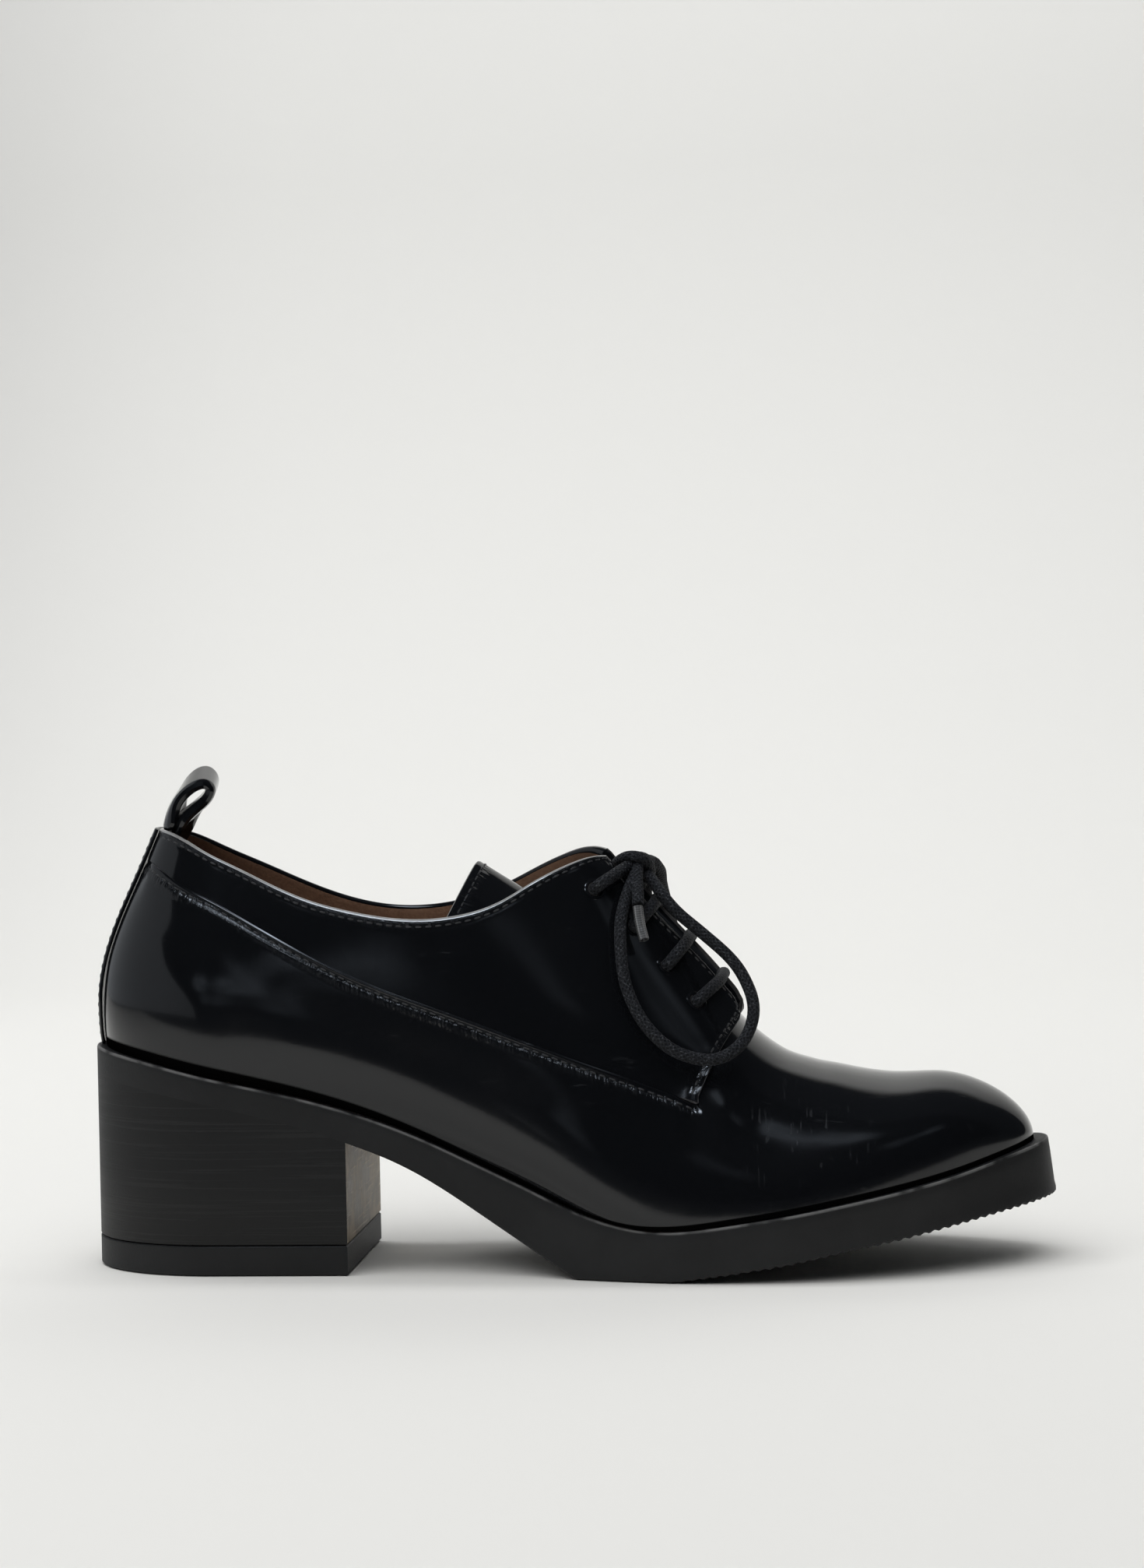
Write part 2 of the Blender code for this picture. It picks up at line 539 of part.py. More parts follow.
def make_outsole(finish):
    """One rubber unit from the heel seat to the toe, with a flat tread under the ball."""
    stations = [(turn, HEEL_CENTRE_X) for turn in heel_turns()]
    for start, end in zip(SIDE_SOLE_X, SIDE_SOLE_X[1:]):
        stations += [(math.pi / 2, start), (math.pi / 2, (start + end) / 2)]
    stations += [(math.pi / 2, SIDE_SOLE_X[-1]), (math.pi / 2, SOLE_TIP_X - BLUNT_TIP)]
    rings = []
    for turn, at in stations:
        (x, outer), (_, inner) = sole_edge(turn, at, OUTER), sole_edge(turn, at, INNER)
        flare = TOE_FLARE * float(ramp(x, TOE_FLARE_FROM, SOLE_TIP_X))
        top, bottom = float(sole_top(x)), float(sole_bottom(x))
        rings.append(((x, outer, top), (x, inner, top),
                      (x + flare, inner + flare, bottom), (x + flare, outer - flare, bottom)))
    return loft("outsole", rings, finish)


def heel_rings(top_of, bottom_z):
    """Rings of a block that follows the heel's plan up to the breast."""
    stations = [(turn, HEEL_CENTRE_X) for turn in heel_turns()]
    stations += [(math.pi / 2, x) for x in np.linspace(HEEL_CENTRE_X, HEEL_BREAST_X, BREAST_STATIONS)]
    rings = []
    for turn, at in stations:
        (x, outer), (_, inner) = sole_edge(turn, at, OUTER), sole_edge(turn, at, INNER)
        top = top_of(x)
        rings.append(((x, outer, top), (x, inner, top), (x, inner, bottom_z), (x, outer, bottom_z)))
    return rings


def make_heel(finish):
    """The stacked heel block between the outsole and its top lift."""
    return loft("heel_block", heel_rings(lambda x: float(sole_bottom(x)) - GAP, TOP_LIFT_HEIGHT), finish)


def make_top_lift(finish):
    """The rubber top lift that the heel stands on."""
    return loft("heel_top_lift", heel_rings(lambda x: TOP_LIFT_HEIGHT - GAP, 0.0), finish)


def make_insole(finish):
    """The insole board, inside the upper's feather edge."""
    heel = np.linspace(INSOLE_FIRST_STATION, 1.0, HEEL_STATIONS)[:-1]
    rest = np.linspace(1.0, float(station_u(INSOLE_TOE_X)), INSOLE_STATIONS)
    rings = []
    for u in np.concatenate([heel, rest]):
        edges = {}
        for side in (OUTER, INNER):
            edges[side] = surface(u, -TUCK, side, -WALL - GAP)
        x = (edges[OUTER][0] + edges[INNER][0]) / 2
        foot = float(sole_top(x)) + GAP
        outer, inner = edges[OUTER][1] + INSOLE_INSET, edges[INNER][1] - INSOLE_INSET
        head = foot + INSOLE_THICKNESS
        rings.append(((x, outer, head), (x, inner, head), (x, inner, foot), (x, outer, foot)))
    return loft("insole", rings, finish)


def rows_between(low, high, count):
    """Turns of count rows between two edges, for every station."""
    part = np.linspace(0.0, 1.0, count)
    return low[:, None] + (high - low)[:, None] * part


def make_upper(finish):
    """Vamp, foxing and quarters as one hollow wall with stepped panel edges."""
    corner = float(station_u(QUARTER_CORNER_X))
    heel = np.linspace(0.0, 1.0, HEEL_STATIONS + 1)[:-1]
    behind = np.linspace(1.0, corner, BEHIND_STATIONS)
    toe = np.linspace(corner, 2.0, TOE_STATIONS)[1:]
    stations = np.concatenate([heel, behind, toe])
    front = len(heel) + len(behind) - 1
    patches = []
    for side in (OUTER, INNER):
        edge, top = panel_edge(stations, side), top_edge(stations, side)
        feather, bulge = np.full_like(edge, -TUCK), np.zeros_like(edge)
        tuck = rows_between(feather, bulge, TUCK_ROWS)[:, :-1]
        lower = np.concatenate([tuck, rows_between(bulge, edge, LOWER_ROWS)], axis=1)
        lower_u = np.repeat(stations[:, None], lower.shape[1], axis=1)
        upper = rows_between(edge, top, QUARTER_ROWS)
        upper_u = lower_u[:, :QUARTER_ROWS]
        ridge = rows_between(top, np.full_like(top, math.pi / 2), RIDGE_ROWS)[front:]
        ridge_u = lower_u[front:, :RIDGE_ROWS]
        quarter, quarter_u = upper[:front + 1], upper_u[:front + 1]
        lower_out = surface(lower_u, lower, side, lower_step(lower_u, last_point(lower_u, lower, side)))
        quarter_out = surface(quarter_u, quarter, side, quarter_step(last_point(quarter_u, quarter, side)))
        upper_base = surface(upper_u, upper, side, np.zeros_like(upper))
        ridge_out = surface(ridge_u, ridge, side, np.zeros_like(ridge))
        lower_in = surface(lower_u, lower, side, np.full_like(lower, -WALL))
        upper_in = surface(upper_u, upper, side, np.full_like(upper, -WALL))
        ridge_in = surface(ridge_u, ridge, side, np.full_like(ridge, -WALL))
        seam_wall = np.stack([lower_out[:front + 1, -1], quarter_out[:, 0]], axis=1)
        front_wall = np.stack([quarter_out[-1], upper_base[front]], axis=0)
        rim_lines = (quarter_out[:, -1], upper_base[:front + 1, -1], upper_in[:front + 1, -1])
        collar_rim = np.stack(rim_lines, axis=1)
        foot_rim = np.stack([lower_out[:, 0], lower_in[:, 0]], axis=1)
        throat_rim = np.stack([ridge_out[0], ridge_in[0]], axis=0)
        patches += [lower_out, quarter_out, upper_base[front:], ridge_out, lower_in, upper_in, ridge_in]
        patches += [seam_wall, front_wall, collar_rim, foot_rim, throat_rim]
    return place("upper", mesh_from_patches("upper", patches), finish)


def make_tongue(finish):
    """The tongue: an arched sheet under the facings, its top edge free above the collar."""
    xs = column(TONGUE_ROWS, TONGUE_COLUMNS, "x")
    curves = {name: cubic(xs, column(TONGUE_ROWS, TONGUE_COLUMNS, name)) for name in TONGUE_COLUMNS[1:]}
    grid = []
    for x in np.linspace(xs[0], xs[-1], TONGUE_GRID[0]):
        row = []
        for part in np.linspace(-1.0, 1.0, TONGUE_GRID[1]):
            bow = part * part
            row.append((x + float(curves["lean"](x)) * bow, part * float(curves["half_width"](x)),
                        float(curves["z"](x)) - float(curves["drop"](x)) * bow))
        grid.append(row)
    sheet = place("tongue", mesh_from_patches("tongue", [grid]), finish)
    thicken(sheet, TONGUE_THICKNESS, -1.0)
    return sheet


def make_back_strip(finish):
    """The strip that covers the back seam, from the collar to the heel seat."""
    grid = []
    top = float(top_edge(0.0, OUTER))
    for part in np.linspace(0.0, 1.0, STRIP_GRID[0]):
        t = STRIP_FOOT_TURN + (top - STRIP_FOOT_TURN) * part
        half = STRIP_HALF_WIDTH_FOOT + (STRIP_HALF_WIDTH_TOP - STRIP_HALF_WIDTH_FOOT) * part
        row = []
        for across in np.linspace(-1.0, 1.0, STRIP_GRID[1]):
            side = OUTER if across < 0 else INNER
            widest = abs(float(last_point(1.0, t, side)[1]))
            u = math.asin(min(1.0, abs(across) * half / widest)) / (math.pi / 2)
            row_t = float(top_edge(u, side)) if part == 1.0 else t
            row.append(surface(u, row_t, side, GAP))
        grid.append(row)
    strip = place("back_strip", mesh_from_patches("back_strip", [grid]), finish)
    thicken(strip, STRIP_THICKNESS, 1.0)
    return strip


def make_pull_loop(finish):
    """A folded strap at the back of the collar: its loop leans, its inner end lies on the lining."""
    route = smooth_route([(x, 0.0, z) for x, z in LOOP_ROUTE], STRAP_GRID[0])
    grid = []
    for x, _, z in route:
        height = max(0.0, z - LOOP_BASE_Z)
        bow = LOOP_BOW * (1 - float(ramp(z, LOOP_BASE_Z, LOOP_FLAT_Z)))
        row = []
        for part in np.linspace(-1.0, 1.0, STRAP_GRID[1]):
            across = part * LOOP_WIDTH / 2
            row.append((x + LOOP_LEAN_X * across * height + bow * part * part, across,
                        z + LOOP_LEAN_Z * across * height))
        grid.append(row)
    strap = place("pull_loop", mesh_from_patches("pull_loop", [grid]), finish)
    thicken(strap, LOOP_THICKNESS, 0.0)
    return strap


def facing_point(x, z, side, off):
    """A point over the outside of the quarter at length x and height z."""
    low, high = 0.0, math.pi / 2
    for _ in range(HALVINGS):
        middle = (low + high) / 2
        over = float(section_point(math.pi / 2, x, middle, side)[2]) >= z
        low, high = (low, middle) if over else (middle, high)
    point = section_point(math.pi / 2, x, middle, side)
    along = section_point(math.pi / 2, x + NUDGE, middle, side) - point
    across = section_point(math.pi / 2, x, middle + NUDGE, side) - point
    normal = np.cross(along, across) * -side
    return point + normal / np.linalg.norm(normal) * (float(quarter_step(point)) + off)


def throat_height(x, side):
    """Height of the throat's edge at length x."""
    turns = np.linspace(0.0, math.pi / 2, 400)
    points = section_point(math.pi / 2, np.full_like(turns, x), turns, side)
    off_axis = np.abs(points[:, 1] - upper_axis(x))
    in_throat = (off_axis <= throat_gap(x)) | (points[:, 2] >= collar_z(x, side))
    return float(points[np.argmax(in_throat), 2])


def make_lace_bars(finish):
    """A straight bar of lace over the facings at each of the lower pairs of eyelets."""
    off = LACE_RADIUS + LACE_CLEAR
    for number, row in enumerate(EYELET_ROWS, 1):
        eyelet_x, eyelet_z, edge_x, crown = row
        route = []
        for side in (OUTER, INNER):
            edge_z = throat_height(edge_x, side)
            eyelet = facing_point(eyelet_x, eyelet_z, side, off)
            halfway = facing_point((eyelet_x + edge_x) / 2, (eyelet_z + edge_z) / 2, side, off)
            edge = facing_point(edge_x, edge_z, side, off)
            half = [eyelet, halfway, edge]
            route += half if side == OUTER else half[::-1]
        middle = (route[2] + route[3]) / 2
        middle[2] += crown
        route.insert(3, middle)
        cord("lace_bar_%d" % number, smooth_route(route, BAR_POINTS), LACE_RADIUS, finish)


def make_lace_tails(finish):
    """The lace from each top eyelet up to the knot."""
    off = LACE_RADIUS + LACE_CLEAR
    for side, word in ((OUTER, "outer"), (INNER, "inner")):
        route = [facing_point(TOP_EYELET_X, TOP_EYELET_Z, side, off),
                 facing_point(TAIL_EDGE_X, TAIL_EDGE_Z, side, off + TAIL_RISE), *np.array(TAIL_ENDS[side])]
        cord("lace_tail_" + word, smooth_route(route, TAIL_POINTS), LACE_RADIUS, finish)


def make_bow(lace, film):
    """The knot, its two loops and two ends with their aglets."""
    shape = bmesh.new()
    bmesh.ops.create_uvsphere(shape, u_segments=KNOT_SEGMENTS[0], v_segments=KNOT_SEGMENTS[1], radius=MM)
    data = bpy.data.meshes.new("lace_knot")
    bmesh.ops.scale(shape, vec=KNOT_RADII, verts=shape.verts)
    bmesh.ops.translate(shape, vec=[value * MM for value in KNOT_CENTRE], verts=shape.verts)
    shape.to_mesh(data)
    shape.free()
    data.shade_smooth()
    place("lace_knot", data, lace)
    cord("lace_loop_outer", smooth_route(OUTER_LOOP_ROUTE, LOOP_POINTS), LACE_RADIUS, lace)
    cord("lace_loop_inner", smooth_route(INNER_LOOP_ROUTE, LOOP_POINTS), LACE_RADIUS, lace)
    cord("lace_end_outer", smooth_route(OUTER_END_ROUTE, END_POINTS), LACE_RADIUS, lace)
    cord("lace_end_inner", smooth_route(INNER_END_ROUTE, END_POINTS), LACE_RADIUS, lace)
    cord("aglet_outer", smooth_route(OUTER_AGLET_ROUTE, AGLET_POINTS), AGLET_RADIUS, film)
    cord("aglet_inner", smooth_route(INNER_AGLET_ROUTE, AGLET_POINTS), AGLET_RADIUS, film)


for old in list(bpy.data.objects):
    bpy.data.objects.remove(old, do_unlink=True)

parts = bpy.data.collections.new(OBJECT_NAME)
bpy.context.scene.collection.children.link(parts)
carrier = bpy.data.objects.new("shoe_middle", None)
carrier.location = (-MIDDLE_X * MM, -MIDDLE_Y * MM, 0.0)
parts.objects.link(carrier)

leather = material("polished_black_leather", (0.012, 0.013, 0.015), 0.18)
lining = material("brown_leather", (0.16, 0.085, 0.05), 0.6)
rubber = material("black_rubber", (0.03, 0.03, 0.032), 0.55)
stacked = material("black_heel_stack", (0.025, 0.024, 0.024), 0.45)
lace_cotton = material("black_waxed_cotton", (0.02, 0.02, 0.021), 0.7)
aglet_film = material("grey_film", (0.25, 0.26, 0.27), 0.25)

make_outsole(rubber)
make_heel(stacked)
make_top_lift(rubber)
make_insole(lining)
make_upper(leather)
make_tongue(leather)
make_back_strip(leather)
make_pull_loop(leather)
make_lace_bars(lace_cotton)
make_lace_tails(lace_cotton)
make_bow(lace_cotton, aglet_film)
bpy.context.view_layer.update()
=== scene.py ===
# %% [markdown]
# # Dressing a heeled derby shoe
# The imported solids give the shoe's true form: sole, heel, hollow upper, tongue and lace. This lesson
# dresses them as the real shoe looks: polished black leather with stitched edges, a brown lining, matte
# rubber, a stacked heel and a waxed cotton lace tied in a bow. Sizes are millimetres from the back of the
# heel, as a shoemaker measures, and one function turns them into the frame's metres.

# %% The frame and its measures
import math

import bmesh
import bpy
import numpy as np
from mathutils import Matrix, Vector


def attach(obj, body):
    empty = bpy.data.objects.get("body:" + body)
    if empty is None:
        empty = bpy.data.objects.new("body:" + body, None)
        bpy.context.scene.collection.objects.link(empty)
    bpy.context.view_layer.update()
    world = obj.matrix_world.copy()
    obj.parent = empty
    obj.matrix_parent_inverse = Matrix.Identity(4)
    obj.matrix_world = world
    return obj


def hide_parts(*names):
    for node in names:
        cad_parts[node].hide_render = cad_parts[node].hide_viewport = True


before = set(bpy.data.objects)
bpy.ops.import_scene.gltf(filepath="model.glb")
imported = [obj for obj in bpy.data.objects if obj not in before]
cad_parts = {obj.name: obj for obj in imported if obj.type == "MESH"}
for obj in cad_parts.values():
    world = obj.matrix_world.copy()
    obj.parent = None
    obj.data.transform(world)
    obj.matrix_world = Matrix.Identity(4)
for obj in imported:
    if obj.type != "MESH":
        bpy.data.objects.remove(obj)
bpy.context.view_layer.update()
MM = 0.001
MIDDLE = np.array((127.45, -1.6, 0.0))   # the frame's origin, in the shoe's own millimetres
OUTER = -1               # a side of the shoe is the sign of its width
INNER = 1
SIDES = ((OUTER, "outer"), (INNER, "inner"))


def metres(points):
    """Shoe millimetres as points of the frame, in metres."""
    return (np.asarray(points, float) - MIDDLE) * MM


def shoe_millimetres(points):
    """Points of the frame, in metres, as shoe millimetres."""
    return np.asarray(points, float) / MM + MIDDLE


def rounded(values, digits=4):
    """Numbers short enough to print."""
    return tuple(round(float(value), digits) for value in values)


# %% [markdown]
# ## Camera
# The shoe is seen from a little ahead of its middle, through a portrait lens at ankle height. A camera
# could be aimed with a constraint, but a matrix from yaw, pitch and roll keeps the exact angle.

# %% Camera
LENS = 70.0
LONG_SIDE = 36.0         # of the film, upright
CAMERA_AT = (205.0, -806.9, 138.2)
YAW = math.radians(5.34)
PITCH = math.radians(0.88)
ROLL = math.radians(-1.17)


def make_camera():
    """A camera at the photograph's angle, with its lens."""
    ahead = Vector((-math.sin(YAW) * math.cos(PITCH), math.cos(YAW) * math.cos(PITCH), -math.sin(PITCH)))
    level = Vector((math.cos(YAW), math.sin(YAW), 0.0))
    above = level.cross(ahead)
    right = level * math.cos(ROLL) + above * math.sin(ROLL)
    up = above * math.cos(ROLL) - level * math.sin(ROLL)
    turned = Matrix((right, up, -ahead)).transposed().to_4x4()
    data = bpy.data.cameras.new("camera")
    data.sensor_fit = "VERTICAL"
    data.sensor_height = LONG_SIDE
    data.lens = LENS
    camera = bpy.data.objects.new("camera", data)
    camera.matrix_world = Matrix.Translation(metres(CAMERA_AT)) @ turned
    bpy.context.scene.collection.objects.link(camera)
    bpy.context.scene.camera = camera
    return camera


print("camera at", rounded(make_camera().location))

# %% [markdown]
# ## Writing finishes as expressions
# A finish is a tree of shader nodes. Linking nodes by hand hides the idea, so one small class wraps a
# socket: Python's operators on it add Math nodes, and `add` on the tree makes any other node.


# %% Shader expressions
class Value:
    """An output socket; operators on it add Math nodes to its finish."""

    def __init__(self, finish, socket):
        self.finish = finish
        self.socket = socket

    def math(self, operation, *others):
        values = dict(enumerate((self, *others)))
        return self.finish.add("ShaderNodeMath", {"operation": operation}, values)

    def __add__(self, other):
        return self.math("ADD", other)

    __radd__ = __add__

    def __mul__(self, other):
        return self.math("MULTIPLY", other)

    __rmul__ = __mul__

    def __sub__(self, other):
        return self.math("SUBTRACT", other)

    def __rsub__(self, other):
        return self.finish.add("ShaderNodeMath", {"operation": "SUBTRACT"}, {0: other, 1: self})

    def step(self, low, high):
        """0 below low, 1 above high, smooth between; low may be the larger."""
        limits = {"Value": self, "From Min": low, "From Max": high}
        return self.finish.add("ShaderNodeMapRange", {"interpolation_type": "SMOOTHSTEP"}, limits)


class Finish:
    """One material and its shader tree."""

    def __init__(self, name, **constants):
        self.material = bpy.data.materials.new(name)
        self.material.use_nodes = True
        self.tree = self.material.node_tree
        self.shader = self.tree.nodes["Principled BSDF"]
        for key, value in constants.items():
            self.shader.inputs[key.replace("_", " ").title().replace("Ior", "IOR")].default_value = value

    def add(self, kind, settings=None, sockets=None, out=0):
        """Any node: its settings first, then the values or links of its sockets."""
        node = self.tree.nodes.new(kind)
        for key, value in (settings or {}).items():
            setattr(node, key, value)
        for key, value in (sockets or {}).items():
            self.put(node.inputs[key], value)
        return Value(self, node.outputs[out])

    def put(self, socket, value):
        """Link a value to a socket, or set it there."""
        if isinstance(value, Value):
            self.tree.links.new(value.socket, socket)
        else:
            socket.default_value = value

    def feed(self, name, value):
        """Link a changing value to one of the shader's own sockets."""
        self.put(self.shader.inputs[name], value)

    def place(self, stretch=(1.0, 1.0, 1.0)):
        """Where a point of the surface lies on the shoe, in millimetres from the frame's origin."""
        at = self.add("ShaderNodeTexCoord", out="Object")
        scale = tuple(value / MM for value in stretch)
        return self.add("ShaderNodeVectorMath", {"operation": "MULTIPLY"}, {0: at, 1: scale})

    def distance(self, point):
        """How far the surface is from a point, in millimetres from the frame's origin."""
        ends = {0: self.place(), 1: point}
        return self.add("ShaderNodeVectorMath", {"operation": "DISTANCE"}, ends, out="Value")

    def noise(self, size, detail=2.0, stretch=(1.0, 1.0, 1.0), shift=0.0):
        """Cloudy noise with features of about that size in millimetres."""
        ends = {0: self.place(stretch), 1: (shift,) * 3}
        at = self.add("ShaderNodeVectorMath", {"operation": "ADD"}, ends)
        return self.add("ShaderNodeTexNoise", {}, {"Vector": at, "Scale": 1.0 / size, "Detail": detail})

    def mark(self, name):
        """A number kept at the mesh's points."""
        return self.add("ShaderNodeAttribute", {"attribute_name": name}, out="Fac")

    def along_and_around(self):
        """A cord's own measures: millimetres along it and turns round it."""
        at = self.add("ShaderNodeTexCoord", out="UV")
        return (self.add("ShaderNodeSeparateXYZ", {}, {0: at}, out=axis) for axis in "XY")

    def mix(self, share, first, second):
        """Two colours in one; either may be a link."""
        first, second = ((*c, 1.0) if isinstance(c, tuple) else c for c in (first, second))
        sockets = {"Factor": share, 6: first, 7: second}
        return self.add("ShaderNodeMix", {"data_type": "RGBA"}, sockets, out=2)

    def tone(self, share, dark, light):
        """Colour the surface between two tones."""
        self.feed("Base Color", self.mix(share, dark, light))

    def cover(self, share, colour):
        """Lay matt colour over the finish where share is 1."""
        polish = Value(self, self.shader.outputs[0])
        matt = self.add("ShaderNodeBsdfDiffuse", {}, {"Color": (*colour, 1.0)})
        layered = self.add("ShaderNodeMixShader", {}, {0: share, 1: polish, 2: matt})
        self.put(self.tree.nodes["Material Output"].inputs["Surface"], layered)

    def relief(self, height):
        """Raise the surface by a height in millimetres."""
        bump = self.add("ShaderNodeBump", {}, {"Height": height, "Distance": MM, "Strength": 1.0})
        self.feed("Normal", bump)


print("finishes are written as expressions")

# %% [markdown]
# ## Polished leather
# The shoe is cut from corrected calf, glazed to a mirror. Up close a mirror is never flat: the hide waves
# a little over the last, pores and rubbing dull it, and each stitch pulls a small pucker. The meshes carry
# the distance from a sewn edge and the way along it, so the puckers sit at the stitches, and the distance
# from the sole, where the crack above the sole is painted near-black as shade.

# %% Polished leather
STITCH_PITCH = 2.6
STITCH_INSET = 1.7       # the row of stitches lies this far inside the seam's edge
BLACK = (0.0046, 0.0052, 0.0064)
RUBBED = (0.030, 0.032, 0.036)
# painted shade: the near-black laid over the crack between upper and sole
CRACK_PAINTED_SHADE = (0.0015, 0.0015, 0.0015)
SCRATCHED_AT = (61.0, -34.0, 36.0)       # middle of the scratched patch on the vamp, from the frame's origin


def polished_leather(name, puckers=True):
    """Glazed black leather, with puckers along its sewn edges, and painted shade over the crack above the
    sole.
    """
    finish = Finish(name, coat_roughness=0.05, coat_ior=1.5, specular_ior_level=0.40)
    wave = finish.noise(26.0, 1.0)
    dent = finish.noise(7.0, 2.0, shift=40.0)
    pore = finish.noise(0.55, 2.0)
    dull = finish.noise(16.0, 3.0, shift=70.0).step(0.45, 0.75)
    rub = finish.noise(1.1, 3.0, stretch=(0.09, 1.0, 0.55), shift=11.0).step(0.66, 0.74)
    scratch = finish.noise(0.9, 1.0, stretch=(1.0, 0.10, 0.05), shift=23.0).step(0.595, 0.69)
    scratch = scratch * finish.distance(SCRATCHED_AT).step(24.0, 10.0)
    scratch = scratch * finish.noise(5.0, 1.0, shift=90.0).step(0.50, 0.60)
    height = wave * 0.16 + dent * 0.020 + pore * 0.003 - scratch * 0.004
    rough = 0.10 + dull * 0.04 + rub * 0.08 + pore * 0.02 + scratch * 0.08
    worn = rub * dull * 0.4 + scratch * 0.45
    if puckers:
        away = finish.mark("edge_away")
        along = finish.mark("edge_along")
        near = away.step(0.9, 1.7) * (1 - away.step(2.0, 5.2))
        beat = (along * (2 * math.pi / STITCH_PITCH)).math("COSINE") * 0.5 + 0.5
        across = finish.add("ShaderNodeCombineXYZ", {}, {"X": along, "Y": away * 0.22})
        wrinkle = finish.add("ShaderNodeTexNoise", {}, {"Vector": across, "Scale": 1.1, "Detail": 2.0})
        height = height + near * (wrinkle * 0.42 - beat * 0.05)
        rough = rough + near * 0.05
        worn = worn + near * wrinkle.step(0.5, 0.7) * 0.5
        # painted shade: matt near-black over the lowest millimetres of the upper, where it meets the sole
        finish.cover(finish.mark("foot_away").step(3.3, 2.5), CRACK_PAINTED_SHADE)
    finish.tone(worn, BLACK, RUBBED)
    finish.feed("Roughness", rough)
    finish.feed("Coat Weight", 0.14 - worn * 0.1)
    finish.relief(height)
    return finish.material


LEATHER = polished_leather("polished_leather")
PLAIN_LEATHER = polished_leather("polished_leather_plain", puckers=False)
print("leather:", LEATHER.name, PLAIN_LEATHER.name)

# %% [markdown]
# ## Lining, edges and thread
# Inside the shoe is brown leather, brushed until it is almost suede. A cut edge shows the hide's fibres
# under black ink; at the seam it is grey, and at the lower corner of the quarter's front edge the same grey
# is a painted glint. Along the collar the turned and glazed rim has a pale grey painted highlight. The edges
# could share one finish, but each catches the light in its own way.

# %% Lining, edges and thread


def lining_leather():
    """Brown lining, brushed soft, darker where it has been rubbed."""
    finish = Finish("brown_lining", roughness=0.78, specular_ior_level=0.25)
    nap = finish.noise(0.8, 4.0)
    cloud = finish.noise(9.0, 3.0, shift=20.0)
    finish.tone(nap * 0.55 + cloud * 0.45, (0.095, 0.052, 0.033), (0.38, 0.225, 0.145))
    finish.relief(nap * 0.16)
    return finish.material


def cut_edge():
    """The raw edge of a panel, inked black."""
    finish = Finish("inked_edge", specular_ior_level=0.4)
    fibre = finish.noise(0.5, 3.0)
    finish.tone(fibre, (0.010, 0.010, 0.011), (0.045, 0.043, 0.042))
    finish.feed("Roughness", 0.42 + fibre * 0.2)
    finish.relief(fibre * 0.05)
    return finish.material


def raw_edge_and_painted_glint():
    """The thin edge of the lower panel at the seam, in grey; on the lowest rows of the quarter's front edge
    the same grey is a painted glint.
    """
    finish = Finish("grey_edge_and_painted_glint", specular_ior_level=0.3)
    fibre = finish.noise(0.8, 3.0, shift=60.0)
    finish.tone(fibre.step(0.35, 0.65), (0.020, 0.020, 0.021), (0.13, 0.13, 0.135))
    finish.feed("Roughness", 0.32 + fibre * 0.2)
    return finish.material


def rim_painted_highlight():
    """The collar's turned rim, glazed, its colour painted pale grey as a highlight."""
    finish = Finish("rim_painted_highlight", coat_weight=1.0, coat_roughness=0.12, coat_ior=2.0, specular_ior_level=0.8)
    rub = finish.noise(6.0, 1.0)
    # painted highlight: pale grey mottled by noise, in place of the leather's black
    finish.tone(rub, (0.15, 0.150, 0.150), (0.30, 0.300, 0.300))
    finish.feed("Roughness", 0.25 + rub * 0.1)
    return finish.material


def sewing_thread():
    """Black waxed thread."""
    finish = Finish("black_thread", specular_ior_level=0.5)
    ply = finish.noise(0.25, 1.0)
    finish.tone(ply, (0.008, 0.008, 0.009), (0.060, 0.062, 0.066))
    finish.feed("Roughness", 0.24 + ply * 0.2)
    return finish.material


LINING = lining_leather()
EDGE = cut_edge()
GREY_EDGE_AND_GLINT_FINISH = raw_edge_and_painted_glint()
RIM_HIGHLIGHT_FINISH = rim_painted_highlight()
THREAD = sewing_thread()
print("lining, edges and thread:", LINING.name, EDGE.name, GREY_EDGE_AND_GLINT_FINISH.name, RIM_HIGHLIGHT_FINISH.name, THREAD.name)

# %% [markdown]
# ## Rubber and the stacked heel
# The sole is moulded rubber with a fine tooth and a grey bloom, and a pale line is painted along its top edge
# as a highlight. The heel is a stack of thin boards dyed black, so noise drawn out sideways gives its level
# lines, and its front face, which no polish reaches, is scuffed and a little brown, and painted much lighter
# for the light that falls on it.

# %% Rubber and heel stack


def sole_rubber():
    """Matte moulded rubber with a faint grey bloom and a pale line painted along its top edge as a highlight.
    """
    finish = Finish("black_rubber", specular_ior_level=0.33)
    tooth = finish.noise(0.7, 3.0)
    bloom = finish.noise(22.0, 4.0, shift=9.0).step(0.35, 0.8)
    # painted highlight: a pale line along the sole's top edge, broken by noise
    rubbed = finish.mark("edge_away").step(0.7, 0.2) * finish.noise(7.0, 2.0, shift=50.0).step(0.30, 0.60)
    plain = finish.mix(bloom * 0.6 + tooth * 0.25, (0.0066, 0.0068, 0.0071), (0.0145, 0.0149, 0.0154))
    finish.tone(rubbed, plain, (0.12, 0.12, 0.12))
    finish.feed("Roughness", 0.50 + tooth * 0.14)
    finish.relief(tooth * 0.035 + finish.noise(5.0, 2.0) * 0.03)
    return finish.material


def heel_stack():
    """Thin boards glued in a stack, dyed black, their joints showing as fine level lines."""
    finish = Finish("black_heel_stack", specular_ior_level=0.33)
    board = finish.noise(1.0, 2.0, stretch=(0.02, 0.02, 1.0))
    line = finish.noise(0.6, 1.0, stretch=(0.012, 0.012, 1.0), shift=31.0).step(0.56, 0.64)
    tooth = finish.noise(0.6, 3.0)
    finish.tone(board * 0.4 + line * 0.45, (0.0040, 0.0042, 0.0044), (0.0140, 0.0142, 0.0144))
    finish.feed("Roughness", 0.46 + board * 0.12 + tooth * 0.08)
    finish.relief(board * 0.04 - line * 0.02 + tooth * 0.02)
    return finish.material


